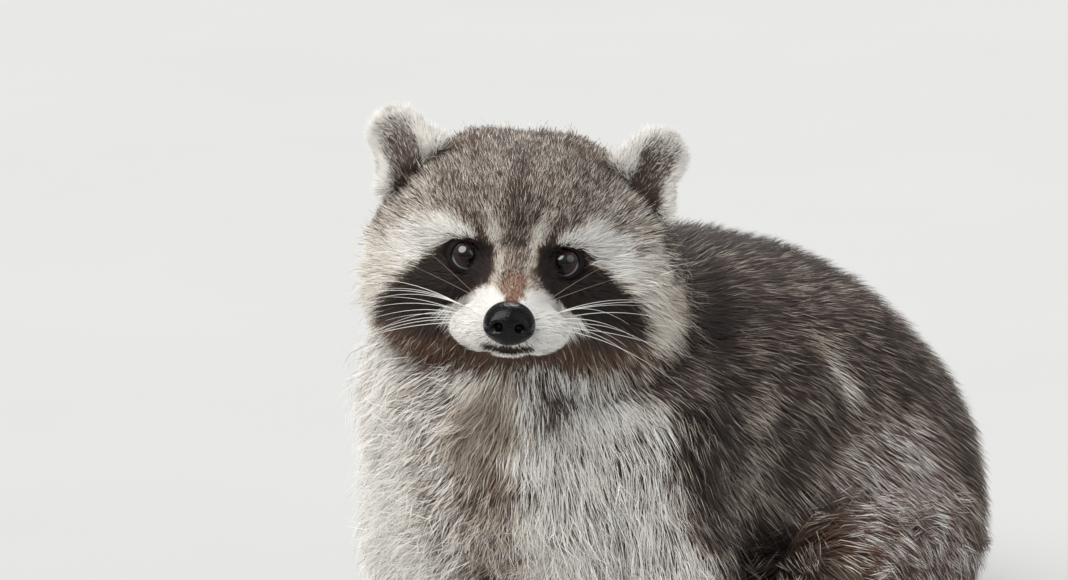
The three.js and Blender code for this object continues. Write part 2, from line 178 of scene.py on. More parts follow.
class Flesh:
    """A tapered bone between two places, or an egg at one, with the coat that grows on it."""

    def __init__(self, zone, ends, radii, fillet, coat, hair, lie=None, turn=0, head=0, tail=None):
        self.zone, self.fillet = ZONES.index(zone), fillet
        self.ends = np.array(ends, "f4")
        self.radii = np.array(radii, "f4")
        self.turn = math.cos(math.radians(turn)), math.sin(math.radians(turn))
        along = self.ends[-1] - self.ends[0]
        lie = np.array(along if lie is None else lie, "f4")
        if head:
            lie = HEAD_TURN @ lie
        lie = lie / max(np.linalg.norm(lie), 1e-6)
        coats, hairs = np.broadcast_to(coat, 2), np.broadcast_to(hair, 2)
        down = (0, 0) if tail is None else tail
        self.gives = np.array(
            [[1, coats[n], hairs[n], *lie, head, tail is not None, down[n], 0] for n in (0, 1)], "f4"
        )

    def reach(self, p):
        """How far outside the form each place is, and the share of the way along it."""
        q = p - self.ends[0]
        if len(self.ends) == 1:
            c, s = self.turn
            u = (c * q[:, 0] + s * q[:, 1]) / self.radii[0]
            v = (c * q[:, 1] - s * q[:, 0]) / self.radii[1]
            w = q[:, 2] / self.radii[2]
            scaled = np.sqrt(u * u + v * v + w * w)
            steep = np.sqrt((u / self.radii[0]) ** 2 + (v / self.radii[1]) ** 2 + (w / self.radii[2]) ** 2)
            return scaled * (scaled - 1) / np.maximum(steep, 1e-6), np.zeros(len(p), "f4")
        along = self.ends[1] - self.ends[0]
        t = np.clip(q @ along / (along @ along), 0, 1)
        off = q - t[:, None] * along
        return np.sqrt((off * off).sum(1)) - self.radii[0] - (self.radii[1] - self.radii[0]) * t, t


def sided(place, sign):
    """A place of the left side, on the side with this sign."""
    return (place[0] * sign, *place[1:])


def paired(zone, ends, radii, fillet, coat, hair, lie=None, turn=0, head=0):
    """The same form on both sides."""
    return [
        Flesh(zone, [sided(end, sign) for end in ends], radii, fillet, coat, hair,
              None if lie is None else sided(lie, sign), turn * sign, head)
        for sign in SIDES.values()
    ]


HEAD_FORMS = [
    Flesh("crown", [(0, 53, 5)], (60, 55, 45), 1, 9, 17, (0, 1, 0.3), head=1),
    Flesh("face", [(0, 24, 18)], (40, 36, 26), 16, 7, 11, (0, 0.6, 0.5), head=1),
    Flesh("face", [(0, 6, -12), (0, -36, -21)], (20, 12.5), 14, (4, 2), (6, 4), (0, 1, 0), head=1),
    Flesh("face", [(0, 12, -25), (0, -32, -26)], (15, 8.5), 9, (6, 3), (9, 5), (0, 1, -0.6), head=1),
    *paired("crown", [(18, 50, 22)], (22, 32, 26.5), 12, 8, 15, (0, 1, 0.5), head=1),
    *paired("crown", [(47, 47, 6)], (13, 20, 14), 10, 8, 14, (0.3, 1, -0.3), head=1),
    *paired("crown", [(36, 46, -21)], (35, 44, 32), 22, 15, 24, (0.5, 0.3, -0.9), head=1),
    *paired("face", [(20, 14, 11)], (17, 15, 11), 10, 4.5, 9, (0.5, 0.3, 0.3), head=1),
    *paired("face", [(12, -27, -26)], (14.5, 21, 11), 8, 5, 11, (1, 0.3, -0.3), turn=-14, head=1),
    *paired("face", [(26, 17, -16)], (16, 18, 13), 10, 5, 9, (0.6, 0.3, -0.4), head=1),
]

SPINE = [(0, -62, 180, 72), (0, 8, 169, 88.5), (0, 60, 152, 93.5), (0, 100, 132, 100), (0, 136, 102, 105)]
TAIL = [
    (0, 204, 56, 36),
    (-12, 264, 40, 40),
    (-54, 316, 39, 42),
    (-118, 336, 38, 41),
    (-180, 318, 34, 37),
    (-216, 282, 27, 27),
]


def line_through(places, shares):
    """Places along the smooth line through these places, at shares of its spans."""
    places = [np.array(place, float) for place in places]
    ends = [2 * places[0] - places[1], *places, 2 * places[-1] - places[-2]]
    found = []
    for share in shares:
        span = min(int(share * (len(places) - 1)), len(places) - 2)
        t = share * (len(places) - 1) - span
        a, b, c, d = ends[span : span + 4]
        ab, bc, cd = (np.sqrt(np.linalg.norm(q - p)) for p, q in ((a, b), (b, c), (c, d)))
        leave = ((b - a) / ab - (c - a) / (ab + bc) + (c - b) / bc) * bc
        arrive = ((c - b) / bc - (d - b) / (bc + cd) + (d - c) / cd) * bc
        found.append(
            b
            + leave * t
            + (3 * (c - b) - 2 * leave - arrive) * t * t
            + (2 * (b - c) + leave + arrive) * t * t * t
        )
    return found


def flesh_along(zone, line, coat, hair, is_tail=False):
    """Round flesh along a smooth line, with the lie of its hair the same way."""
    spans = len(line) - 1
    shares = np.linspace(0, 1, 2 * spans + 1)
    places = line_through([point[:3] for point in line], shares)
    radii = np.interp(shares, np.linspace(0, 1, len(line)), [point[3] for point in line])
    depths = np.interp(shares, (0, 1), np.broadcast_to(coat, 2))
    return [
        Flesh(zone, places[n : n + 2], radii[n : n + 2], FILLETS["line"], depths[n : n + 2], hair,
              tail=shares[n : n + 2] if is_tail else None)
        for n in range(2 * spans)
    ]


SHOULDER, ELBOW, WRIST = (48, -72, 172), (62, -66, 110), (47, -92, 36)
HIP, KNEE, HEEL, HIND_TOES = (56, 118, 86), (86, 20, 86), (84, 90, 17), (84, 2, 12)
TOES = {
    "forepaw": dict(root=(47, -112), long=22, radius=5.6, fan=9, splay=4, apart=8.6),
    "hindfoot": dict(root=(84, 0), long=22, radius=6, fan=6, splay=2, apart=8.6),
}
TOE_SHORTER, TOE_SUNK = 0.07, 0.8


def toes_of(kind, sign):
    """Each toe's root, tip and heading on one foot."""
    foot = TOES[kind]
    for toe in range(-2, 3):
        heading = math.radians(toe * foot["fan"] + foot["splay"]) * sign
        ahead = np.array([math.sin(heading), -math.cos(heading), 0])
        start = np.array([(foot["root"][0] + toe * foot["apart"]) * sign, foot["root"][1], 0])
        start += ahead * foot["radius"] + (0, 0, foot["radius"] - TOE_SUNK)
        yield start, start + ahead * foot["long"] * (1 - TOE_SHORTER * abs(toe)), ahead


TORSO_FORMS = [
    *flesh_along("back", SPINE, 21, 34),
    Flesh("collar", [(-8, -74, 208), (10, -84, 240)], (72, 56), 30, (22, 16), (36, 26), (0, 0.35, -1)),
    Flesh("chest", [(0, -90, 146)], (60, 46, 70), 30, 22, 40, (0, -0.15, -1)),
    *paired("flanks", [SHOULDER, ELBOW], (44, 36), 26, (20, 16), (34, 28), (0.1, 0.25, -1)),
    *paired("legs", [ELBOW, WRIST], (32, 18), 16, (13, 4), (24, 9), (0.05, -0.1, -1)),
    *paired("haunches", [HIP, KNEE], (60, 46), 26, (21, 18), (34, 30), (0.8, 0.65, -0.8)),
    *paired("legs", [KNEE, HEEL], (36, 20), 18, (14, 5), (24, 12), (0.1, 0.4, -1)),
    *paired("feet", [HEEL, HIND_TOES], (18, 15), 12, (4, 2.2), (9, 6)),
    *paired("feet", [(47, -104, 15)], (20, 22, 15), 10, 2.6, 6.5, (0, -1, -0.4)),
    *flesh_along("tail", TAIL, (22, 15), 33, is_tail=True),
    *(
        Flesh("feet", (root, tip), (TOES[kind]["radius"],) * 2, 3, 1.3, 4)
        for kind in TOES
        for sign in SIDES.values()
        for root, tip, _ in toes_of(kind, sign)
    ),
]
EAR_FORMS = {
    sign: [
        Flesh("ears", ends, radii, FILLETS["ear_rim"], EAR["coat"], EAR["hair"])
        for ends, radii in (
            ([(0, 0, 0), (0, 0, FLAP["tall"])], (FLAP["root"], FLAP["tip"])),
            ([sided(FLAP["inner"], sign), (0, 0, FLAP["tall"])], FLAP["inner_radii"]),
            ([CUP["at"]], CUP["radii"]),
        )
    ]
    for sign in SIDES.values()
}
EAR_GIVES = {
    sign: np.array([1, EAR["coat"], EAR["hair"], *(HEAD_TURN @ turn @ (0, 0, 1)), 0, 0, 0, 1], "f4")
    for sign, turn in EAR_TURNS.items()
}

# Places of the head where the hair is short: the place, how far it reaches, and the coat's depth and length.
BARE = [
    *(((sign * EYE["apart"] / 2, -4, 0), 11, 1.2, 2.4) for sign in SIDES.values()),
    ((0, -51, -21), 12, 0.7, 2.4),
    ((0, -42, -34), 8, 1.2, 3),
]
HAIR_FROM = np.array([0, -46, -21])  # the point in the nose that the hair of the face lies away from
SOFT = 7  # how far the coat of one form runs on into the next
NEAREST, FARTHEST = -30, 90  # a form's weight stays the same nearer or farther than this
FAR = 1e3
AT_A_TIME = 1 << 15


def blend(first, second, fillet):
    """Joins two forms, with a fillet between them."""
    h = np.maximum(fillet - np.abs(first - second), 0) / fillet
    return np.minimum(first, second) - h * h * (fillet / 4)


def hollow(first, second, fillet):
    """Cuts the second out of the first."""
    return -blend(-first, second, fillet)


def eased(value, low, high):
    """From 0 below the first limit to 1 above the second, smoothly."""
    t = np.clip((value - low) / (high - low), 0, 1)
    return t * t * (3 - 2 * t)


def in_parts(work, points):
    """Does the work on some of the points at a time, on every core."""
    points = np.asarray(points, "f4")
    with ThreadPoolExecutor() as pool:
        done = list(pool.map(work, [points[n : n + AT_A_TIME] for n in range(0, len(points), AT_A_TIME)]))
    return [np.concatenate(column) for column in zip(*done)]


def body_near(p):
    """How far each place is outside the tips of the coat, what the forms near it give, and its zone."""
    sums = np.zeros((len(p), ON_EAR + 1), "f4")
    nearest, zone = np.full(len(p), FAR, "f4"), np.zeros(len(p), "i4")

    def weigh(reach, gives, index):
        sums[:] += np.exp(np.clip(reach, NEAREST, FARTHEST) / -SOFT)[:, None] * gives
        closer = reach < nearest
        nearest[closer], zone[closer] = reach[closer], index

    def joined(forms, places):
        whole = np.full(len(p), FAR, "f4")
        for form in forms:
            reach, t = form.reach(places)
            whole = blend(whole, reach, form.fillet)
            weigh(reach, form.gives[0] + t[:, None] * (form.gives[1] - form.gives[0]), form.zone)
        return whole

    head = to_head(p).astype("f4")
    whole = blend(joined(TORSO_FORMS, p), joined(HEAD_FORMS, head), FILLETS["head"])
    ears = []
    for sign, (flap, inner, cup) in EAR_FORMS.items():
        place = to_ear(head, sign).astype("f4")
        flat = place / np.array([1, FLAP["thick"], 1], "f4")
        ear = blend(flap.reach(flat)[0], inner.reach(flat)[0], FILLETS["ear_rim"]) * FLAP["thick"]
        ear = hollow(ear, cup.reach(place)[0], FILLETS["ear_rim"])
        ears.append((eased(whole - ear, 0, EAR["root_soft"])[:, None], EAR_GIVES[sign], flap.zone))
        whole = blend(whole, ear, FILLETS["ear"])

    sums[:, COAT:] /= sums[:, WEIGHT, None]
    for share, gives, index in ears:
        sums += (gives - sums) * share
        zone[share[:, 0] > 0.5] = index
    for place, across, coat, hair in BARE:
        near = np.exp(-(((head - place) ** 2).sum(1) / across**2))
        sums[:, COAT] += (coat - sums[:, COAT]) * near
        sums[:, HAIR] += (hair - sums[:, HAIR]) * near
    return whole, sums, zone


# Creases of the skin, in the head's frame: the mouth and the cleft under the nose.
MOUTH = dict(level=-32, front=-45, rise=0.0024, wide=1.3, deep=2, back=-4, fade=12)
CLEFT = dict(wide=0.8, deep=1.2, low=-33, high=-27, front=-40)
SOCKET = dict(ball=8.1, ahead=9.5, radii=(7.6, 9, 6.6))
eye_cavities = [
    Flesh("face", [(sign * EYE["apart"] / 2, EYE["deep"] - ahead, 0)], radii, 1, 1, 1)
    for sign in SIDES.values()
    for ahead, radii in ((0, (SOCKET["ball"],) * 3), (SOCKET["ahead"], SOCKET["radii"]))
]
SOLE = 0.6  # the hide clears the floor by this much


def hide_near(p):
    """How far each place is outside the hide."""
    whole, sums, _ = body_near(p)
    skin = whole + sums[:, COAT]
    head = to_head(p)
    x, y, z = head.T
    line = MOUTH["level"] + MOUTH["rise"] * (y - MOUTH["front"]) ** 2
    open_share = np.clip((MOUTH["back"] - y) / MOUTH["fade"], 0, 1)
    skin += MOUTH["deep"] * np.exp(-(((z - line) / MOUTH["wide"]) ** 2)) * open_share
    cleft = (z > CLEFT["low"]) & (z < CLEFT["high"]) & (y < CLEFT["front"])
    skin += CLEFT["deep"] * np.exp(-((x / CLEFT["wide"]) ** 2)) * cleft
    for cavity in eye_cavities:
        skin = hollow(skin, cavity.reach(head)[0], FILLETS["socket"])
    return (np.maximum(skin, SOLE - p[:, 2]),)


def stepped(*stops):
    """Grid lines from stop to stop, each stop a place and the spacing up to the next, in whole blocks."""
    lines = [np.arange(a, b - gap / 2, gap) for (a, gap), (b, _) in zip(stops, stops[1:])]
    lines = np.concatenate([*lines, [stops[-1][0]]])
    spare = -(len(lines) - 1) % BLOCK
    return np.concatenate([lines, lines[-1] + stops[-2][1] * np.arange(1, spare + 1)])


def corners_of(axes):
    """Every corner of a grid."""
    return np.stack(np.meshgrid(*axes, indexing="ij"), -1).reshape(-1, 3)


BLOCK = 4  # grid lines to a block: only blocks that the hide may cross are worked out in full
SAFE = 0.8  # the hide may cross a block when it is nearer than this share of the block's size


def values_on(axes, near):
    """A field at each corner of a grid, worked out in full only near its surface."""
    coarse_axes = [axis[::BLOCK] for axis in axes]
    coarse = in_parts(near, corners_of(coarse_axes))[0].reshape([len(axis) for axis in coarse_axes])
    sizes = np.meshgrid(*[np.diff(axis) for axis in coarse_axes], indexing="ij")
    across = np.sqrt(sum(size**2 for size in sizes))
    shifts = [(i, j, k) for i in (0, 1) for j in (0, 1) for k in (0, 1)]
    ends = [[slice(shift[n], size - 1 + shift[n]) for n, size in enumerate(coarse.shape)] for shift in shifts]
    closest = np.min([np.abs(coarse[tuple(end)]) for end in ends], axis=0)
    crossed = closest < across * SAFE

    def finer(blocks):
        for axis in range(3):
            blocks = np.repeat(blocks, BLOCK, axis)
        return blocks

    values = np.full([len(axis) for axis in axes], FAR, "f4")
    wanted = np.zeros(values.shape, bool)
    for shift in shifts:
        part = tuple(slice(shift[n], size - 1 + shift[n]) for n, size in enumerate(values.shape))
        values[part] = finer(coarse[:-1, :-1, :-1])
        wanted[part] |= finer(crossed)
    places = np.stack([axis[n] for axis, n in zip(axes, np.nonzero(wanted))], 1)
    values[wanted] = in_parts(near, places)[0]
    return values


def surface_on(axes, values):
    """The surface where a field on a grid is zero, as one point in each crossed cell, joined by quads."""
    inside = values < 0
    rows = np.array([(len(axes[1]) - 1) * (len(axes[2]) - 1), len(axes[2]) - 1, 1])
    cells, crossings, quads = [], [], []
    for axis in range(3):
        first, second = [slice(None)] * 3, [slice(None)] * 3
        first[axis], second[axis] = slice(0, -1), slice(1, None)
        first, second = tuple(first), tuple(second)
        at = np.argwhere(inside[first] != inside[second])
        across, up = (axis + 1) % 3, (axis + 2) % 3
        for side in (across, up):
            at = at[(at[:, side] > 0) & (at[:, side] < len(axes[side]) - 1)]
        a, b = values[first][tuple(at.T)], values[second][tuple(at.T)]
        place = np.stack([axes[n][at[:, n]] for n in range(3)], 1)
        place[:, axis] += a / (a - b) * (axes[axis][at[:, axis] + 1] - axes[axis][at[:, axis]])
        round_edge = ((0, 0), (1, 0), (1, 1), (0, 1))
        ring = np.stack([at @ rows - p * rows[across] - q * rows[up] for p, q in round_edge], 1)
        outwards = inside[first][tuple(at.T)]
        quads.append(np.where(outwards[:, None], ring, ring[:, ::-1]))
        cells.append(ring.ravel())
        crossings.append(np.repeat(place, 4, axis=0))
    found, index = np.unique(np.concatenate(cells), return_inverse=True)
    crossings = np.concatenate(crossings)
    share = np.bincount(index)
    points = np.stack([np.bincount(index, crossings[:, n]) / share for n in range(3)], 1)
    return points, np.searchsorted(found, np.concatenate(quads))


NUDGE = 0.4  # how far apart a slope is measured
LEAST_STEEP = 0.3


def slope_of(near, points):
    """A field's value and slope at each point."""
    here = in_parts(near, points)[0]
    ahead = [in_parts(near, points + NUDGE * np.eye(3)[axis])[0] for axis in range(3)]
    return here, (np.stack(ahead, 1) - here[:, None]) / NUDGE


def settled(near, points, furthest):
    """Points moved onto the surface where a field is zero."""
    here, slope = slope_of(near, points)
    steep = np.maximum((slope**2).sum(1), LEAST_STEEP)
    move = -here[:, None] * slope / steep[:, None]
    far = np.maximum(np.linalg.norm(move, axis=1, keepdims=True) / furthest, 1)
    return points + move / far


HIDE_GRID = (  # finest round the head, which shows the most
    ((-250, 4.6), (-72, 1.4), (84, 4.6), (140, 0)),
    ((-202, 1.35), (-92, 2.4), (-24, 5), (384, 0)),
    ((-4, 4.6), (204, 1.4), (336, 0)),
)
HIDE_MOVES = 0.8  # the furthest that a point of the hide is moved onto its surface
hide_axes = [stepped(*stops) for stops in HIDE_GRID]
hide_points, hide_quads = surface_on(hide_axes, values_on(hide_axes, hide_near))
hide_points = settled(hide_near, hide_points, HIDE_MOVES)


def normals_of(points, faces):
    """Outward normals at the points, from the quads round each."""
    a, b, c, d = (points[faces[:, n]] for n in range(4))
    across = np.cross(c - a, d - b)
    summed = [np.bincount(faces.ravel(), np.repeat(across[:, n], 4), len(points)) for n in range(3)]
    return unit(np.stack(summed, 1))


def unit(vectors):
    """The same directions, each of length 1."""
    return vectors / np.maximum(np.linalg.norm(vectors, axis=-1, keepdims=True), 1e-9)


# ---- Markings ----
# The coat's pattern: a black mask under white brows, a white muzzle with a rusty bridge, a grizzled back and a
# ringed tail. Each mark gives the share of pale hairs, how warm the dark ones are and how bright the pale ones.
PLAIN = (0.29, 0.3, 0.4)
# Across the face, as seen from ahead and the same on both sides: a line has its places as x, z and half width,
# and a patch has its outline as x, z. A mark ends at front, that far behind the eyes.
FACE_MARKS = [
    # The grizzled forehead, the crown and the temples.
    dict(line=[(0, 40, 60)], soft=12, front=60, gives=(0.36, 0.42, 0.66)),
    dict(line=[(0, 56, 14), (26, 54, 14), (44, 50, 14)], soft=18, front=90, gives=(0.28, 0.34, 0.6)),
    dict(line=[(50, 24, 12), (64, 4, 12)], soft=12, front=40, gives=(0.46, 0.5, 0.7)),
    # Down the middle of the forehead: a dark stripe, with a pale and then a warm streak on each side.
    dict(line=[(0, 50, 5), (0, 20, 4), (0, 6, 3.5)], soft=9, front=40, gives=(0.27, 0.36, 0.6)),
    dict(line=[(12.5, 22, 0.5), (10.5, 15, 2.4), (8.5, 5, 2), (8, -6, 1.5)], soft=8, front=14,
         gives=(0.6, 0.52, 0.82)),
    dict(line=[(8, 4, 1.6), (8, -7, 2)], soft=4, front=4, gives=(0.62, 0.85, 0.6)),
    # The brows, with a dark streak at the inner end of each.
    dict(line=[(20, 11, 3), (33, 11.5, 7), (46, 3, 8), (55, -7, 6)], soft=7, front=45, gives=(0.93, 0.5, 1)),
    dict(line=[(13.5, 5, 1), (15.5, 12, 1.4), (19, 19, 1)], soft=4, front=16, gives=(0.2, 0.35, 0.5)),
    # The cheeks, under the mask, and the throat.
    dict(line=[(60, -8, 8), (68, -22, 8), (72, -36, 9)], soft=9, front=60, gives=(0.72, 0.62, 0.76)),
    dict(line=[(70, -16, 2), (74, -32, 3)], soft=9, front=80, gives=(0.5, 0.82, 0.62)),
    dict(line=[(36, -50, 8), (58, -44, 8)], soft=8, front=50, gives=(0.36, 0.72, 0.55)),
    # Dark brown under the chin: the throat's own brown with the chin's shadow painted into it.
    dict(line=[(0, -56, 12), (30, -52, 10)], soft=10, front=46, gives=(0.16, 0.62, 0.5)),
    # The mask, a little less black low down.
    dict(patch=[(9, -2), (10, 7), (17, 9), (25, 6.5), (31, 3.5), (37.5, -1), (46, -8), (55, -19), (60, -28),
                (58, -35), (47, -40), (31, -41), (24, -28), (19, -17), (13, -9)],
         soft=5, front=34, gives=(0.02, 0.12, 0.1)),
    dict(line=[(34, -36, 4), (52, -34, 4)], soft=10, front=30, gives=(0.06, 0.4, 0.2)),
    # The muzzle, its bridge and the rust above the nose.
    dict(patch=[(-1, -9), (8, -8), (13, -9.5), (18, -15), (24, -20.5), (33, -26), (34, -30), (26, -35),
                (15, -38), (0, -42), (-1, -42)], soft=3, front=14, gives=(1, 0.1, 1)),
    dict(line=[(0, 5, 4), (0, -7, 4.2)], soft=4, front=-4, gives=(0.4, 0.6, 0.5)),
    dict(patch=[(-1, -2), (4.5, -3), (6, -7), (4.5, -10), (3, -14), (-1, -14)], soft=6, front=-14,
         gives=(0.38, 0.93, 0.42)),
    # Round the eyes, and the lips.
    dict(line=[(21, 0, 8.6)], soft=2, front=20, gives=(0, 0.05, 0)),
    dict(line=[(0, -32.6, 1.9), (10.5, -31.6, 1.5)], soft=2.2, front=-24, gives=(0.04, 0.1, 0.2)),
]
FRONT_SOFT = 6
# On the body, as bones of the pattern in the animal's frame, on both sides unless single.
BODY_MARKS = [
    # The dark line of the back, the pale patch of the flank, the shoulder and the haunch.
    dict(line=[(0, -30, 272), (0, 60, 262), (0, 140, 214), (0, 204, 120)], wide=38, soft=34,
         gives=(0.18, 0.2, 0.4)),
    dict(line=[(80, 46, 208), (88, 54, 188), (94, 58, 168)], wide=8, soft=17, gives=(0.49, 0.5, 0.78)),
    dict(line=[(90, -16, 170), (92, -18, 110)], wide=16, soft=22, gives=(0.42, 0.35, 0.6)),
    dict(line=[(98, 84, 120), (112, 40, 90), (104, 100, 70)], wide=44, soft=30, gives=(0.37, 0.7, 0.9)),
    # Two dark breaks in the coat, behind the neck and the shoulder: dark hair that paints the shade in the
    # creases where the coat parts as the body bends.
    dict(line=[(50, 0, 242), (66, -20, 222), (82, -42, 196), (88, -48, 175), (90, -42, 110)], wide=6, soft=9,
         gives=(0, 0.1, 0.3)),
    dict(line=[(70, 41, 220), (80, 32, 207), (87, 22, 190), (91, 14, 155)], wide=3.5, soft=7,
         gives=(0, 0.12, 0.3)),
    # The chest: grey on its left, paler on its right, with a dark parting. The dark patch on its left is
    # painted shade, and the paler right edge is its own cream with painted light.
    dict(line=[(30, -130, 215), (56, -124, 160), (58, -106, 100)], wide=48, soft=26, gives=(0.53, 0.42, 0.92)),
    # Painted shade: a darker patch on the left of the chest.
    dict(line=[(62, -128, 206), (46, -138, 192)], wide=14, soft=16, single=True, gives=(0.3, 0.33, 0.85)),
    dict(line=[(-30, -130, 225), (-36, -130, 160), (-44, -112, 80)], wide=42, soft=22, single=True,
         gives=(0.45, 0.62, 0.88)),
    # Painted light with the chest's own cream: the outer right edge is paler and brighter.
    dict(line=[(-62, -110, 225), (-68, -112, 160), (-70, -104, 80)], wide=34, soft=26, single=True,
         gives=(0.68, 0.7, 0.95)),
    dict(line=[(25, -138, 210), (16, -144, 190), (8, -146, 176)], wide=(8, 15, 14), soft=14, single=True,
         gives=(0.62, 0.62, 0.3)),
    dict(line=[(14, -144, 178), (25, -138, 120), (22, -130, 60)], wide=7, soft=14, single=True,
         gives=(0.36, 0.62, 0.5)),
    # Under the chin: the throat's own dark brown with the chin's shadow painted into it.
    dict(line=[(4, -144, 222), (45, -130, 220)], wide=11, soft=14, single=True, gives=(0.24, 0.66, 0.4)),
    # The forepaws, the hind feet and the belly.
    dict(line=[(47, -80, 40), (47, -120, 10)], wide=22, soft=20, gives=(0.8, 0.3, 0.6)),
    dict(line=[(84, 80, 16), (84, -10, 10)], wide=22, soft=16, gives=(0.75, 0.35, 0.6)),
    dict(line=[(0, -40, 30), (0, 120, 10)], wide=40, soft=30, gives=(0.7, 0.45, 0.55)),
]
RINGS = dict(count=6.5, pale=(0.6, 0.5, 0.66), dark=(0.05, 0.1, 0.2), tip=0.9, soft=0.16)
EAR_MARKS = dict(back=(0.36, 0.42, 0.45), cup=(0.46, 0.42, 0.84), sides=(0.78, 0.45, 0.95),
                 deep=(0.26, 0.4, 0.8), rim=(1, 0.5, 1))
EAR_DEEP = dict(line=[(0, 0, 17), (0, 0, -2)], wide=(4, 3))
EAR_FOOT = dict(line=[(26, 38, 50), (34, 33, 40)], wide=1, soft=7, share=0.85, gives=(0.22, 0.6, 0.4))
# From where to where each of these comes in: a part of the body by its weight, a mark of the ear by distance.
COMES_IN = dict(head=(0.35, 0.75), tail=(0.5, 0.9), ear=(0.25, 0.6),
                sides=(6, 12), deep=(-1, 8), rim=(-4.5, -2.8))
# The edges of the marks wander, in features of these sizes and by these shares.
COARSE, FINE = 13, 4
WANDERS = dict(body=0.4, face=0.3, ring=0.25, deep=1.5, rim=0.4, foot=2)


def uneven(p, size):
    """A soft wandering value of about -1 to 1, with features of about this size, from crossing waves."""
    x, y, z = (p / size).T
    waves = np.sin(1.7 * x + 2.3 * np.sin(0.9 * y + 0.5)) * np.cos(1.9 * y - 1.2 * z)
    return waves * 0.6 + 0.4 * np.sin(2.9 * z + 1.3 * x + np.sin(3.1 * y))


def off_line(p, line, wide):
    """The distance from a chain of places, less the mark's half width there."""
    line = np.array(line, float)
    wide = np.broadcast_to(wide, len(line))
    if len(line) == 1:
        return np.linalg.norm(p - line[0], axis=1) - wide[0]
    best = np.full(len(p), FAR)
    for n in range(len(line) - 1):
        along = line[n + 1] - line[n]
        q = p - line[n]
        t = np.clip(q @ along / (along @ along), 0, 1)
        off = np.linalg.norm(q - t[:, None] * along, axis=1)
        best = np.minimum(best, off - wide[n] - (wide[n + 1] - wide[n]) * t)
    return best


def off_patch(p, outline):
    """The distance from a patch with this outline, less than nothing inside it."""
    best, inside = off_line(p, [*outline, outline[0]], 0), np.zeros(len(p), bool)
    for (x1, z1), (x2, z2) in zip(outline, outline[1:] + outline[:1]):
        crosses = (z1 > p[:, 1]) != (z2 > p[:, 1])
        inside ^= crosses & (p[:, 0] < x1 + (p[:, 1] - z1) / (z2 - z1 or 1) * (x2 - x1))
    return np.where(inside, -best, best)


def down_tail(sums):
    """The share of the way down the tail."""
    return sums[:, DOWN_TAIL] / np.maximum(sums[:, ON_TAIL], 1e-3)


def markings_at(p, sums):
    """The three numbers of the pattern at each place."""
    marks = np.tile(np.array(PLAIN), (len(p), 1))
    coarse, fine = uneven(p, COARSE), uneven(p, FINE)

    def lay(share, gives):
        marks[:] += (np.array(gives) - marks) * share[:, None]

    def within(off, soft):
        return 1 - eased(off, -soft / 2, soft / 2)

    for mark in BODY_MARKS:
        q = p.copy()
        if not mark.get("single"):
            q[:, 0] = np.abs(q[:, 0])
        off = off_line(q, mark["line"], mark["wide"]) + coarse * mark["soft"] * WANDERS["body"]
        lay(within(off, mark["soft"]), mark["gives"])

    head = to_head(p)
    on_head = eased(sums[:, ON_HEAD], *COMES_IN["head"])
    face = np.stack([np.abs(head[:, 0]), head[:, 2]], 1)
    for mark in FACE_MARKS:
        if "patch" in mark:
            off = off_patch(face, mark["patch"])
        else:
            line = np.array(mark["line"], float)
            off = off_line(face, line[:, :2], line[:, 2])
        off = off + fine * mark["soft"] * WANDERS["face"]
        ahead = 1 - eased(head[:, 1], mark["front"] - FRONT_SOFT, mark["front"] + FRONT_SOFT)
        lay(within(off, mark["soft"]) * ahead * on_head, mark["gives"])

    down = down_tail(sums)
    ring = np.cos(down * RINGS["count"] * 2 * np.pi) + coarse * WANDERS["ring"]
    dark = np.maximum(eased(ring, -RINGS["soft"], RINGS["soft"]), down > RINGS["tip"])
    on_tail = eased(sums[:, ON_TAIL], *COMES_IN["tail"])
    lay(on_tail, RINGS["pale"])
    lay(on_tail * dark, RINGS["dark"])

    for sign, (flap, inner, _) in EAR_FORMS.items():
        ear = to_ear(head, sign)
        flat = ear * (1, 0, 1)
        edge = np.minimum(flap.reach(flat)[0], inner.reach(flat)[0]) + fine * WANDERS["rim"]
        deep = off_line(flat + fine[:, None] * WANDERS["deep"], **EAR_DEEP)
        on_ear = eased(sums[:, ON_EAR], *COMES_IN["ear"]) * (head[:, 0] * sign > 0)
        cupped = on_ear * (ear[:, 1] < 1)
        lay(on_ear, EAR_MARKS["back"])
        lay(cupped, EAR_MARKS["cup"])
        lay(cupped * eased(np.abs(ear[:, 0]), *COMES_IN["sides"]), EAR_MARKS["sides"])
        lay(cupped * (1 - eased(deep, *COMES_IN["deep"])), EAR_MARKS["deep"])
        lay(on_ear * eased(edge, *COMES_IN["rim"]), EAR_MARKS["rim"])
    foot = off_line(np.abs(head * (1, 0, 0)) + head * (0, 1, 1), EAR_FOOT["line"], EAR_FOOT["wide"])
    foot_share = 1 - eased(foot + fine * WANDERS["foot"], 0, EAR_FOOT["soft"])
    lay(foot_share * EAR_FOOT["share"], EAR_FOOT["gives"])
    return np.clip(marks, 0, 1)


def shape_of(name, points, faces):
    """A mesh object from places in the animal's frame."""
    mesh = bpy.data.meshes.new(name)
    corners = faces.shape[1]
    mesh.vertices.add(len(points))
    mesh.vertices.foreach_set("co", in_frame(points).astype("f4").ravel())
    mesh.loops.add(faces.size)
    mesh.loops.foreach_set("vertex_index", faces.astype("i4").ravel())
    mesh.polygons.add(len(faces))
    mesh.polygons.foreach_set("loop_start", np.arange(0, faces.size, corners, dtype="i4"))
    mesh.polygons.foreach_set("use_smooth", np.ones(len(faces), bool))
    mesh.update(calc_edges=True)
    piece = bpy.data.objects.new(name, mesh)
    bpy.context.scene.collection.objects.link(piece)
    return piece


def note(piece, name, values):
    """Keeps a number or a vector for each point of a piece, for its finish to read."""
    values = np.asarray(values, "f4")
    kind, field = ("FLOAT_VECTOR", "vector") if values.ndim == 2 else ("FLOAT", "value")
    piece.data.attributes.new(name, kind, "POINT").data.foreach_set(field, values.ravel())


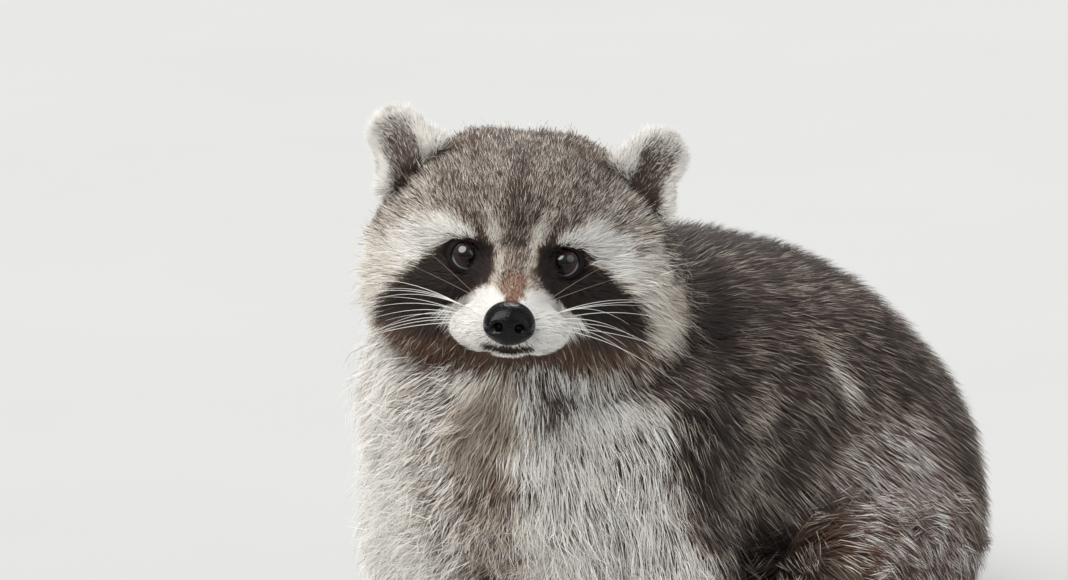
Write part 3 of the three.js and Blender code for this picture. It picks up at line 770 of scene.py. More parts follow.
class Wire:
    """The output of a node, on which sums are written as on a number."""

    def __init__(self, finish, socket):
        self.finish, self.socket = finish, socket

    def worked(self, operation, *terms):
        kind = "VectorMath" if any(isinstance(term, tuple) for term in terms) else "Math"
        return self.finish.node(kind, dict(operation=operation), dict(enumerate(terms)))

    def __add__(self, other):
        return self.worked("ADD", self, other)

    def __sub__(self, other):
        return self.worked("SUBTRACT", self, other)

    def __rsub__(self, other):
        return self.worked("SUBTRACT", other, self)

    def __mul__(self, other):
        return self.worked("MULTIPLY", self, other)

    __radd__, __rmul__ = __add__, __mul__


class Finish:
    """A material made of nodes. Constants stand on its shader's own sockets."""

    def __init__(self, name, **constants):
        self.material = bpy.data.materials.new(name)
        self.material.use_nodes = True
        self.tree = self.material.node_tree
        self.shader = self.tree.nodes["Principled BSDF"]
        for socket, value in constants.items():
            self.shader.inputs[socket.replace("_", " ")].default_value = value

    def node(self, kind, settings, inputs, output=0):
        """Any node: its type, its settings, what its sockets are given, and the output that is used."""
        made = self.tree.nodes.new("ShaderNode" + kind)
        for name, value in settings.items():
            if name == "stops":
                while len(made.color_ramp.elements) < len(value):
                    made.color_ramp.elements.new(0.5)
                for element, (place, colour) in zip(made.color_ramp.elements, value):
                    element.position, element.color = place, colour
            else:
                setattr(made, name, value)
        for name, value in inputs.items():
            if isinstance(value, Wire):
                self.tree.links.new(value.socket, made.inputs[name])
            else:
                made.inputs[name].default_value = value
        return Wire(self, made.outputs[output])

    def kept(self, name, output="Fac"):
        """What note() keeps on the piece under this name."""
        return self.node("Attribute", dict(attribute_name=name), {}, output)

    def parts(self, vector):
        return [self.node("SeparateXYZ", {}, {0: vector}, n) for n in range(3)]

    def mix(self, share, first, second):
        return self.node("Mix", dict(data_type="RGBA"), {0: share, 6: first, 7: second}, 2)

    def ramp(self, value, stops):
        return self.node("ValToRGB", dict(stops=stops), {0: value})

    def eased(self, value, low, high):
        settings = dict(interpolation_type="SMOOTHSTEP")
        return self.node("MapRange", settings, {"Value": value, "From Min": low, "From Max": high})

    def noise(self, scale, detail=2.0, place=None):
        place = place or self.node("TexCoord", {}, {}, "Object")
        return self.node("TexNoise", {}, {"Vector": place, "Scale": scale, "Detail": detail})

    def bump(self, height, strength, distance):
        return self.node("Bump", {}, {"Height": height, "Strength": strength, "Distance": distance})

    def feed(self, **wires):
        """Leads wires to the shader's sockets."""
        for socket, wire in wires.items():
            self.tree.links.new(wire.socket, self.shader.inputs[socket.replace("_", " ")])


DARK_HAIR = [  # from cold to warm: black, dark brown, taupe, chestnut and rust
    (0, (0.012, 0.008, 0.008, 1)),
    (0.25, (0.038, 0.024, 0.019, 1)),
    (0.5, (0.135, 0.092, 0.072, 1)),
    (0.75, (0.125, 0.055, 0.029, 1)),
    (1, (0.300, 0.105, 0.045, 1)),
]
PALE_HAIR = [  # from dull to bright: drab, cream and white
    (0.25, (0.24, 0.195, 0.16, 1)),
    (0.6, (0.58, 0.50, 0.41, 1)),
    (0.92, (0.90, 0.88, 0.84, 1)),
]


# What turns a hair's colour: soft patches in the coat, and the hair's own tone. And when it is a pale one: by
# the share of pale hairs in the markings there, against a number that the hair or its lock drew.
PATCHES = dict(scale=55.0, warm=0.2, pale=0.3)
TONES = dict(warm=0.12, bright=0.4)
PALE_ONES = dict(drawn=0.85, share=1.15, limits=(0.86, 1.1))


def coat_colours(finish, strand, tone):
    """The dark and the pale colour of the hair, whether it is a pale one, and the share of pale hairs there."""
    pale, warm, bright = finish.parts(finish.kept("markings", "Vector"))
    patchy = finish.noise(PATCHES["scale"], 3.0) - 0.5
    dark = finish.ramp(warm + patchy * PATCHES["warm"] + (tone - 0.5) * TONES["warm"], DARK_HAIR)
    light = finish.ramp(bright + (tone - 0.5) * TONES["bright"], PALE_HAIR)
    is_pale = strand * PALE_ONES["drawn"] + pale * PALE_ONES["share"] + patchy * PATCHES["pale"]
    return dark, light, finish.eased(is_pale, *PALE_ONES["limits"]), pale


MARKED_AT = 0.7  # the hide has the markings of this share of the coat's depth above it
SHORT_COAT = (1.5, 4.5)  # the depths between which a coat is too short to hide the skin's colour
_, hide_sums, hide_zone = in_parts(body_near, hide_points)
hide_normals = normals_of(hide_points, hide_quads)
hide_marks = markings_at(hide_points + hide_normals * hide_sums[:, COAT, None] * MARKED_AT, hide_sums)
hide = shape_of("hide", hide_points, hide_quads)
note(hide, "markings", hide_marks)
note(hide, "short_hair", 1 - eased(hide_sums[:, COAT], *SHORT_COAT))

skin = Finish("underfur", Roughness=0.9, IOR=1.3)
fine = skin.noise(900.0, 4.0)
dark, light, share, _ = coat_colours(skin, skin.noise(420.0, 3.0), skin.noise(300.0, 2.0))
short = skin.eased(skin.kept("short_hair"), 0.3, 0.9)  # pale down shows only where the hair is short
wool = skin.mix(short * share, dark, light)
skin.feed(Base_Color=wool, Normal=skin.bump(fine, 0.6, 0.0012))
hide.data.materials.append(skin.material)
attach(hide, "root")
FLESH_NODES = sorted(set(frame["nodes"]) - {"eye_left", "eye_right", "nose"})
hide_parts(*FLESH_NODES)

# ---- Eyes ----
# Two balls set between the brows and the cheekbones, nearly black, with a wide pupil in a dark brown iris. The
# clear front bulges a little and is wet, and a thin grey rim shows between the iris and the lids. The rim is
# painted pale in its lower half only: its own grey with a painted reflection along the wet lower edge.
BALL = dict(radius=7.45, bulge=0.55, bulge_wide=0.85, rings=30, around=44)
PUPIL, IRIS, LIMBUS, WHITE_RIM = 0.4, 0.7, 0.72, 0.82  # as shares of the ball's radius, from its axis


def lathed(rows, around):
    """A closed round shape about Z, from rows of radius and height. The first and the last row are points."""
    turns = np.linspace(0, 2 * np.pi, around, endpoint=False)
    rings = [np.stack([r * np.cos(turns), r * np.sin(turns), np.full(around, h)], 1) for r, h in rows[1:-1]]
    points = np.concatenate([[(0, 0, rows[0][1])], *rings, [(0, 0, rows[-1][1])]])
    n = np.arange(around)
    after, last = (n + 1) % around, len(points) - 1
    faces = [np.stack([np.zeros(around, int), 1 + n, 1 + after], 1)]
    for row in range(len(rings) - 1):
        low, high = 1 + row * around, 1 + (row + 1) * around
        faces.append(np.stack([low + n, high + n, high + after], 1))
        faces.append(np.stack([low + n, high + after, low + after], 1))
    low = last - around
    faces.append(np.stack([low + n, np.full(around, last), low + after], 1))
    return points, np.concatenate(faces)


def looking(place, towards):
    """A turn whose Z looks from a place towards another, with Y upwards."""
    ahead = unit(towards - place)
    side = unit(np.cross((0, 0, 1), ahead))
    return np.stack([side, np.cross(ahead, side), ahead], 1)


LOOKS_AT = np.array(camera.location) / MM - STANDS_AT
eye_finish = Finish("eye", Roughness=0.6, Coat_Roughness=0.05, Coat_IOR=1.75, IOR=1.02)
gaze = eye_finish.kept("gaze", "Vector")
gaze_y = eye_finish.parts(gaze)[1]
off_axis = eye_finish.node("VectorMath", dict(operation="LENGTH"), {0: gaze * (1, 1, 0)}, "Value")
fibres = eye_finish.noise(9.0, 5.0, gaze)
iris = eye_finish.mix(fibres, (0.010, 0.004, 0.003, 1), (0.034, 0.012, 0.008, 1))
# The rim is pale below and dark above: its own grey with a painted reflection along the wet lower edge.
rim = eye_finish.mix(eye_finish.eased(gaze_y, -0.35, 0.05), (0.20, 0.215, 0.24, 1), (0.008, 0.006, 0.006, 1))
eye_colour = (0.003, 0.002, 0.002, 1)
for starts, full, next_colour in (
    (PUPIL, PUPIL + 0.05, iris),
    (IRIS - 0.05, IRIS, (0.006, 0.005, 0.005, 1)),
    (IRIS + 0.01, LIMBUS, rim),
    (WHITE_RIM, WHITE_RIM + 0.03, (0.02, 0.014, 0.012, 1)),
):
    eye_colour = eye_finish.mix(eye_finish.eased(off_axis, starts, full), eye_colour, next_colour)
wet = eye_finish.eased(gaze_y, -0.1, 0.25) * 0.7 + 0.3  # the film of tears thins out towards the lower lid
eye_finish.feed(Base_Color=eye_colour, Coat_Weight=wet)

down_ball = np.linspace(0, np.pi, BALL["rings"])
ball_radii = BALL["radius"] + BALL["bulge"] * np.exp(-((down_ball / BALL["bulge_wide"]) ** 2))
ball_rows = np.stack([ball_radii * np.sin(down_ball), ball_radii * np.cos(down_ball)], 1)
ball_points, ball_faces = lathed(ball_rows, BALL["around"])
eye_frames = {}
for side, sign in SIDES.items():
    centre = from_head((sign * EYE["apart"] / 2, EYE["deep"], 0))
    eye_frames[side] = centre, looking(centre, LOOKS_AT)
    eye = shape_of(f"eyeball_{side}", ball_points @ eye_frames[side][1].T + centre, ball_faces[:, ::-1])
    note(eye, "gaze", unit(ball_points))
    eye.data.materials.append(eye_finish.material)
    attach(eye, "root")
    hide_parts(f"eye_{side}")

# ---- Eyelids ----
# A smooth dark fold of bare skin round each eye, rolled over the edge of the opening. It is
# drawn out to a point at the inner corner, and its outer edge runs in under the hide.
LID = dict(wide=0.98, flat=0.02, inner=0.20, inner_at=0.35, outer=0.08, corner=0.38, around=56)
# From under the ball, over the edge and back under the hide: the angle past the opening, and the radius.
LID_PROFILE = [
    (0.16, 7.2), (0.0, 7.5), (-0.035, 7.9), (-0.01, 8.3), (0.09, 8.6), (0.30, 8.8), (0.60, 8.8), (1.0, 8.4)
]

lid_finish = Finish("lid_skin", Roughness=0.6, IOR=1.2)
lid_grain = lid_finish.noise(1500.0, 4.0)
lid_colour = lid_finish.mix(lid_grain, (0.005, 0.004, 0.004, 1), (0.018, 0.013, 0.012, 1))
lid_finish.feed(Base_Color=lid_colour, Normal=lid_finish.bump(lid_grain, 0.4, 0.0004))


def woven(rows, around):
    """Quads between rows of points that each close into a ring."""
    low = np.arange(around)
    after = (low + 1) % around
    ring = np.stack([low, after, after + around, low + around], 1)
    return np.concatenate([ring + row * around for row in range(rows - 1)])


def wrapped(angles):
    """The same angles, from minus to plus half a turn."""
    return np.angle(np.exp(1j * angles))


for side, sign in SIDES.items():
    centre, turn = eye_frames[side]
    turns = np.linspace(0, 2 * np.pi, LID["around"], endpoint=False)
    inner_way, outer_way = (np.pi, 0) if sign > 0 else (0, np.pi)
    from_inner = wrapped(turns - inner_way - sign * LID["inner_at"])
    from_outer = wrapped(turns - outer_way)
    opening = (
        LID["wide"]
        - LID["flat"] * np.sin(turns) ** 2
        + LID["inner"] * np.exp(-((from_inner / LID["corner"]) ** 2))
        + LID["outer"] * np.exp(-((from_outer / LID["corner"]) ** 2))
    )
    rings = []
    for more, radius in LID_PROFILE:
        angle = opening + more
        ways = np.stack([np.sin(angle) * np.cos(turns), np.sin(angle) * np.sin(turns), np.cos(angle)], 1)
        rings.append(ways * radius @ turn.T + centre)
    lid = shape_of(f"eyelids_{side}", np.concatenate(rings), woven(len(rings), LID["around"]))
    lid.data.materials.append(lid_finish.material)
    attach(lid, "root")

# ---- Nose ----
# A pad of bare black skin at the tip of the muzzle, finely pebbled and moist, with two comma-shaped nostrils
# that run out to the sides and a cleft down its middle to the lip.
NOSE_PAD = [
    Flesh("face", [(0, -50.5, -18.2)], (10.4, 9, 8.3), 1, 0, 0),
    *paired("face", [(5.8, -53, -20.6)], (4.8, 6.3, 5.2), 3, 0, 0),
    Flesh("face", [(0, -52.3, -23.2)], (5.6, 6, 5), 4, 0, 0),
]
NOSTRILS = [
    *paired("face", [(5.1, -60, -20)], (2.2, 4.2, 2.0), 1.6, 0, 0, turn=20),
    *paired("face", [(5.6, -60, -21.8), (11.4, -54, -21.4)], (1.1, 0.5), 1.4, 0, 0),
    Flesh("face", [(0, -61.4, -19.6), (0, -57, -29)], (0.5, 0.6), 0.8, 0, 0),
]
PAD_GRID = ((-13, 0.5), (13, 0)), ((-62, 0.5), (-40, 0)), ((-31, 0.5), (-8, 0))
PAD_MOVES = 0.25  # the furthest that a point of the pad is moved onto its surface


def pad_near(p):
    """How far each place of the head's frame is outside the nose pad."""
    pad = np.full(len(p), FAR, "f4")
    for form in NOSE_PAD:
        pad = blend(pad, form.reach(p)[0], form.fillet)
    for form in NOSTRILS:
        pad = hollow(pad, form.reach(p)[0], form.fillet)
    return (pad,)


pad_axes = [stepped(*stops) for stops in PAD_GRID]
pad_points, pad_quads = surface_on(pad_axes, values_on(pad_axes, pad_near))
pad_points = settled(pad_near, pad_points, PAD_MOVES)
nose = shape_of("nose_pad", from_head(pad_points), pad_quads)
nose_finish = Finish("nose_leather", IOR=1.3)
pad_place = nose_finish.node("TexCoord", {}, {}, "Object")
pebbles = nose_finish.node("TexVoronoi", {}, {"Vector": pad_place, "Scale": 1100.0})
moist = nose_finish.noise(160.0, 3.0)
nose_colour = nose_finish.mix(moist, (0.001, 0.001, 0.001, 1), (0.006, 0.005, 0.006, 1))
nose_finish.feed(
    Base_Color=nose_colour,
    Roughness=nose_finish.eased(moist, 0.2, 0.9) * 0.2 + 0.14,
    Normal=nose_finish.bump(pebbles, 0.35, 0.0004),
)
nose.data.materials.append(nose_finish.material)
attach(nose, "root")
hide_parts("nose")

# ---- Claws ----
# Five curved claws of dark horn on each foot, one from the tip of each toe, blunt from digging and walking.
# Each has its root sunk in the toe and is a little paler towards its tip.
CLAW = dict(long=12.5, root=2.1, droop=3.6, bend=1.7, taper=1.8, blunt=0.93, inside=2, up=1.5)
CLAW_RINGS, CLAW_AROUND = 9, 10
ASKEW = (0.31, 0.17, 0.93)  # a way that no claw or whisker runs
OFF_FLOOR = 0.3  # claws and tufts clear the floor by this much


def tubes_along(paths, radii, around):
    """Round tapered tubes along paths of the same number of places, open at both ends."""
    paths = np.asarray(paths, float)
    count, steps = paths.shape[:2]
    along = unit(np.gradient(paths, axis=1))
    side = unit(np.cross(along, ASKEW))
    up = np.cross(side, along)
    turns = np.linspace(0, 2 * np.pi, around, endpoint=False)
    radii = np.broadcast_to(radii, (count, steps))[..., None, None]
    ring = side[:, :, None] * np.cos(turns)[:, None] + up[:, :, None] * np.sin(turns)[:, None]
    points = (paths[:, :, None] + ring * radii).reshape(-1, 3)
    each = woven(steps, around)
    faces = (each[None] + (np.arange(count) * steps * around)[:, None, None]).reshape(-1, 4)
    shares = np.tile(np.repeat(np.linspace(0, 1, steps), around), count)
    return points, faces, shares


claw_paths = []
for kind, foot in TOES.items():
    for sign in SIDES.values():
        for root, tip, ahead in toes_of(kind, sign):
            t = np.linspace(0, 1, CLAW_RINGS)[:, None]
            begin = tip + ahead * (foot["radius"] - CLAW["inside"]) + (0, 0, CLAW["up"])
            claw_paths.append(begin + ahead * CLAW["long"] * t - (0, 0, CLAW["droop"]) * t ** CLAW["bend"])
claw_taper = CLAW["root"] * (1 - np.linspace(0, 1, CLAW_RINGS) ** CLAW["taper"] * CLAW["blunt"])
claw_points, claw_faces, claw_shares = tubes_along(claw_paths, claw_taper, CLAW_AROUND)
claw_points[:, 2] = np.maximum(claw_points[:, 2], OFF_FLOOR)
claws = shape_of("claws", claw_points, claw_faces)
note(claws, "along", claw_shares)
horn = Finish("horn", Roughness=0.35, Coat_Weight=0.2)
streaks = horn.noise(700.0, 4.0)
horn_colour = horn.mix(streaks, (0.020, 0.014, 0.011, 1), (0.075, 0.052, 0.038, 1))
horn_colour = horn.mix(horn.eased(horn.kept("along"), 0.6, 1.0), horn_colour, (0.13, 0.10, 0.075, 1))
horn.feed(Base_Color=horn_colour, Normal=horn.bump(streaks, 0.3, 0.0004))
claws.data.materials.append(horn.material)
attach(claws, "root")

# ---- Coat ----
# The hair itself: thin tapering tufts that overlap like thatch and lie along the body, short and fine on the
# face and feet and long and loose on the chest. Each takes the markings of the place where its outer part lies,
# is dark at its root, and on the grizzled parts has a pale band below a dark tip.
rng = np.random.default_rng(71)
hide_tris = np.concatenate([hide_quads[:, [0, 1, 2]], hide_quads[:, [0, 2, 3]]])
tri_sides = [hide_points[hide_tris[:, n]] for n in range(3)]
tri_sizes = np.linalg.norm(np.cross(tri_sides[1] - tri_sides[0], tri_sides[2] - tri_sides[0]), axis=1) / 2
tri_zones = hide_zone[hide_tris[:, 0]]
tri_middles = sum(tri_sides) / 3
PATCH = 0.003  # a tuft's patch on its piece's map
SPARSE = 0.35  # how thick the coat is underneath, as a share
UNDERNEATH = (-0.7, 0)  # how far down a place faces where the coat is sparse, and where it is full
SOLES = dict(below=7, facing=-0.45)  # no tufts on what faces the floor as near it as this
EYE_CLEAR, PAD_CLEAR = 9.1, 0.3  # from the middle of an eye, and from the nose pad
FOR_PAD = 50000  # roots held against the nose pad at a time
FLYAWAY = dict(lift=1.4, long=1.15, stray=8)  # hairs that stand out of the coat

# Each piece: the zones that it covers, its side, how many tufts, their width, the places along each, how far
# apart the locks are and how strongly they draw together, how far tufts stray, how high they stand, the share
# of them that stand out of the coat, how much they wave, and the axis of its map, in the head's frame or not,
# with its two sides apart on the map or not.
USUAL = dict(side=0, places=3, lift=1, flies=0, wave=0, head=False, sided=False)
HEAD_AXIS = ((0, -60, -20), (0, 60, 10))
PIECES = {
    "coat_face": dict(zones=["face"], tufts=60000, wide=0.3, lock=3, draw=0.15, stray=15, lift=0.9,
                      axis=HEAD_AXIS, head=True, slot="coat_white"),
    "coat_crown": dict(zones=["crown"], tufts=54000, wide=0.36, lock=5, draw=0.3, stray=15, flies=0.015,
                       axis=HEAD_AXIS, head=True, slot="coat_grey"),
    "coat_ears": dict(zones=["ears"], tufts=24000, wide=0.28, lock=3, draw=0.15, stray=14, lift=0.9,
                      flies=0.01, axis=((48, 40, 20), (70, 50, 70)), head=True, sided=True, slot="coat_white"),
    "coat_collar": dict(zones=["collar"], tufts=36000, wide=0.42, places=4, lock=7, draw=0.55, stray=16,
                        flies=0.02, wave=0.06, axis=((0, -80, 120), (0, -80, 260)), slot="coat_grey"),
    "coat_chest": dict(zones=["chest"], tufts=38000, wide=0.4, places=4, lock=7, draw=0.65, stray=20,
                       flies=0.045, wave=0.12, axis=((0, -80, 60), (0, -80, 260)), slot="coat_pale"),
    **{f"coat_back_{side}": dict(zones=["back"], side=sign, tufts=54000, wide=0.46, lock=5, draw=0.28,
                                 stray=13, axis=((0, -60, 150), (0, 140, 90)), slot="coat_grey")
       for side, sign in SIDES.items()},
    "coat_haunches": dict(zones=["haunches"], tufts=44000, wide=0.46, lock=6, draw=0.75, stray=18,
                          axis=((60, 120, 86), (88, 20, 86)), sided=True, slot="coat_grey"),
    "coat_legs": dict(zones=["flanks", "legs"], tufts=44000, wide=0.45, lock=6, draw=0.5, stray=16,
                      lift=0.95, flies=0.03, axis=((50, -90, 0), (50, -80, 180)), sided=True, slot="coat_pale"),
    "coat_feet": dict(zones=["feet"], tufts=15000, wide=0.34, lock=4, draw=0.1, stray=12, lift=0.8,
                      flies=0.01, axis=((60, -120, 10), (84, 90, 10)), sided=True, slot="coat_pale"),
    "coat_tail": dict(zones=["tail"], tufts=48000, wide=0.5, lock=7, draw=0.35, stray=15, flies=0.02,
                      axis=None, slot="coat_dark"),
}


def roots_of(zones, side, count):
    """Roots spread evenly over the zones of the hide: places and normals."""
    wanted = np.isin(tri_zones, [ZONES.index(zone) for zone in zones])
    if side:
        wanted &= tri_middles[:, 0] * side >= 0
    wanted = np.flatnonzero(wanted)
    thick = SPARSE + (1 - SPARSE) * eased(hide_normals[hide_tris[wanted, 0], 2], *UNDERNEATH)
    total = np.cumsum(tri_sizes[wanted] * thick)
    drawn = (np.arange(count) + rng.random(count)) / count * total[-1]
    corners = hide_tris[wanted[np.minimum(np.searchsorted(total, drawn), len(wanted) - 1)]]
    a, b = rng.random((2, count, 1))
    a, b = np.where(a + b > 1, 1 - a, a), np.where(a + b > 1, 1 - b, b)
    shares = (1 - a - b, a, b)
    place = sum(share * hide_points[corners[:, n]] for n, share in enumerate(shares))
    normal = unit(sum(share * hide_normals[corners[:, n]] for n, share in enumerate(shares)))
    clear = ~((place[:, 2] < SOLES["below"]) & (normal[:, 2] < SOLES["facing"]))
    head = to_head(place)
    for sign in SIDES.values():
        eye = head - (sign * EYE["apart"] / 2, EYE["deep"], 0)
        clear &= np.linalg.norm(eye, axis=1) > EYE_CLEAR
    off_pad = [pad_near(head[n : n + FOR_PAD])[0] for n in range(0, count, FOR_PAD)]
    clear &= np.concatenate(off_pad) > PAD_CLEAR
    return place[clear], normal[clear]


# How the hair is combed: away from the nose, down the sides and the front of the body, out from the parting of
# the chest, away from each eye, and across and out of the cup of each ear.
FROM_NOSE, DOWN_SIDES = 1.5, 0.9
DOWN_FRONT = (0.1, 0.9)  # how far ahead a place faces where that begins, and where it is full
PARTING = dict(at=20, wide=26, right=2.6, left=0.8, ahead=(60, 110))
ROUND_EYE = dict(ahead=6, reach=10, share=4)
IN_EAR = dict(cup=(-1, 3), foot=6, middle=10, edge=(11, 19), across=(0.9, -0.3, 0.45), spread=0.5)


def lie_at(p, normal, sums, is_ear):
    """The way that the hair lies at each root, along the hide."""
    head = to_head(p)
    lie = sums[:, LIE].astype(float)
    on_head = sums[:, ON_HEAD, None]
    lie += FROM_NOSE * on_head * (unit(head - HAIR_FROM) @ HEAD_TURN.T)
    off_head = 1 - on_head[:, 0]
    on_body = off_head * (1 - sums[:, ON_TAIL])
    lie[:, 2] -= DOWN_SIDES * np.abs(normal[:, 0]) * on_body
    ahead = eased(-normal[:, 1], *DOWN_FRONT) * on_body
    lie[:, 1] -= ahead * np.maximum(lie[:, 1], 0)
    lie[:, 2] -= ahead
    side = np.tanh((p[:, 0] - PARTING["at"]) / PARTING["wide"])
    spread = np.where(side < 0, PARTING["right"], PARTING["left"])
    lie[:, 0] += eased(-p[:, 1], *PARTING["ahead"]) * off_head * spread * side
    for sign in SIDES.values():
        eye = head - (sign * EYE["apart"] / 2, EYE["deep"] - ROUND_EYE["ahead"], 0)
        near = np.exp(-((np.linalg.norm(eye, axis=1) / ROUND_EYE["reach"]) ** 2))[:, None]
        lie += ROUND_EYE["share"] * near * (unit(eye) @ HEAD_TURN.T)
        if is_ear:
            ear = to_ear(head, sign)
            mine = (head[:, 0] * sign > 0)[:, None]
            cupped = eased(-ear[:, 1], *IN_EAR["cup"])[:, None]
            out = unit(ear * (1, 0, 1) - (0, 0, IN_EAR["foot"]))
            from_middle = np.linalg.norm(ear * (1, 0, 1) - (0, 0, IN_EAR["middle"]), axis=1)
            edge = eased(from_middle, *IN_EAR["edge"])[:, None]
            across = sided(IN_EAR["across"], sign) * (1 - edge) + out * edge
            way = across * cupped + (out * IN_EAR["spread"] + (0, 0, 1)) * (1 - cupped)
            lie = np.where(mine, way @ EAR_TURNS[sign].T @ HEAD_TURN.T, lie)
    return unit(lie - (lie * normal).sum(1, keepdims=True) * normal)


TAIL_CENTRES = np.array(line_through([point[:3] for point in TAIL], np.linspace(0, 1, 41)))


def charted(p, sums, spec):
    """Where each root is on an unwrap of its part of the hide round the part's own axis."""
    if spec["axis"] is None:
        down = np.clip(down_tail(sums), 0, 1)
        shares = np.linspace(0, 1, len(TAIL_CENTRES))
        centre, way = (
            np.stack([np.interp(down, shares, line[:, n]) for n in range(3)], 1)
            for line in (TAIL_CENTRES, unit(np.gradient(TAIL_CENTRES, axis=0)))
        )
        off = p - centre
        u, v = np.arctan2(off[:, 2], (off * np.cross(way, (0, 0, 1))).sum(1)), down
    else:
        q = to_head(p) if spec["head"] else p.copy()
        sign = np.where(q[:, 0] < 0, -1, 1)
        if spec["sided"]:
            q[:, 0] *= sign
        start, end = np.array(spec["axis"], float)
        along = unit(end - start)
        across = unit(np.cross(along, (0.1, 0.2, 1)))
        off = q - start
        u, v = np.arctan2(off @ across, off @ np.cross(across, along)), off @ along
    u = u / (2 * np.pi) + 0.5
    v = (v - v.min()) / (v.max() - v.min())
    if spec["sided"]:
        u = (u + (sign < 0)) / 2
    return np.stack([u, v], 1) * (1 - 2 * PATCH) + PATCH


LOCKS = dict(fewest=8, varies=(0.5, 1.3), late=1.5, most=0.9)  # late: it is the tips that draw together


def drawn_together(nodes, roots, lock, draw, shares):
    """Pulls the tips of the tufts towards those of the lock that each belongs to, and numbers the locks."""
    leaders = rng.choice(len(roots), max(len(roots) // lock**2, LOCKS["fewest"]), replace=False)
    tree = KDTree(len(leaders))
    for n, leader in enumerate(leaders):
        tree.insert(roots[leader], n)
    tree.balance()
    mine = np.array([tree.find(root)[1] for root in roots])
    keen = rng.uniform(*LOCKS["varies"], len(roots))[:, None, None]
    pull = np.clip(draw * keen * shares[None, :, None] ** LOCKS["late"], 0, LOCKS["most"])
    return nodes + (nodes[leaders[mine]] - nodes) * pull, mine


# How a tuft grows. It strays in swirls of this size, and a guard hair is longer than wool and stands higher.
# Its root is sunk in the hide, and its places are then moved, by so much of the coat's depth at most, to where
# they lie over one another like thatch.
SWIRL = dict(size=17, turn=14)
LENGTH = dict(wool=0.68, guard=0.34, varies=(0.9, 1.1))
RISE = dict(wool=0.5, guard=0.5, arch=1.8)
LEAST_RUN = 0.55
SUNK = 0.6
THATCH = dict(down=(0.7, 1), up=(0.5, 0.5))
WAVES = 1.6
STRAND = dict(guard=0.65, lock=0.35)


def tufts_on(spec):
    """The places along each tuft of a piece, and what its finish and its map need."""
    roots, normal = roots_of(spec["zones"], spec["side"], spec["tufts"])
    count = len(roots)
    _, sums, _ = in_parts(body_near, roots)
    sums = sums.astype(float)
    is_ear = "ears" in spec["zones"]
    way = lie_at(roots, normal, sums, is_ear)
    guard, flies = rng.random(count), rng.random(count) < spec["flies"]
    stray = rng.normal(0, spec["stray"] + FLYAWAY["stray"] * flies)
    stray = np.radians(stray + SWIRL["turn"] * uneven(roots, SWIRL["size"]))[:, None]
    way = way * np.cos(stray) + np.cross(normal, way) * np.sin(stray)
    coat, hair = sums[:, COAT], sums[:, HAIR]
    long = hair * (LENGTH["wool"] + LENGTH["guard"] * guard) * rng.uniform(*LENGTH["varies"], count)
    long = np.where(flies, hair * FLYAWAY["long"], long)
    rise = coat * spec["lift"] * np.where(flies, FLYAWAY["lift"], RISE["wool"] + RISE["guard"] * guard)
    run = np.sqrt(np.maximum(long**2 - rise**2, (LEAST_RUN * long) ** 2))
    shares = np.linspace(0, 1, spec["places"])
    heights = 1 - (1 - shares) ** RISE["arch"]
    nodes = (
        roots[:, None]
        + way[:, None] * (run[:, None] * shares)[..., None]
        + normal[:, None] * (rise[:, None] * heights - SUNK)[..., None]
    )
    if not is_ear:
        lowest, highest = (share * coat + more for share, more in (THATCH["down"], THATCH["up"]))
        for n in range(1, spec["places"]):
            here = in_parts(body_near, nodes[:, n])[0]
            aim = -(coat - rise * heights[n])
            nodes[:, n] += normal * np.clip(aim - here, -lowest, highest)[:, None]
    if spec["wave"]:
        beside = np.cross(normal, way)
        swing = np.sin(np.pi * WAVES * shares + rng.uniform(0, 6.28, count)[:, None])
        nodes += beside[:, None] * (swing * (spec["wave"] * long)[:, None] * shares)[..., None]
    nodes, locks = drawn_together(nodes, roots, spec["lock"], spec["draw"], shares)
    nodes[..., 2] = np.maximum(nodes[..., 2], OFF_FLOOR)
    marks = markings_at((nodes[:, -2] + nodes[:, -1]) / 2, sums)
    of_lock = rng.random(locks.max() + 1)[locks]
    strand = np.where(flies, 1, guard * STRAND["guard"] + of_lock * STRAND["lock"])
    return nodes, normal, marks, np.stack([strand, rng.random(count)], 1), charted(roots, sums, spec)


ROLL = 0.85  # how far a tuft rolls about its length either way, in radians
WIDTH = dict(varies=(0.65, 1.25), taper=0.6, late=2.2)
FACING = 0.5  # a tuft is lit half as it faces and half as the hide under it does


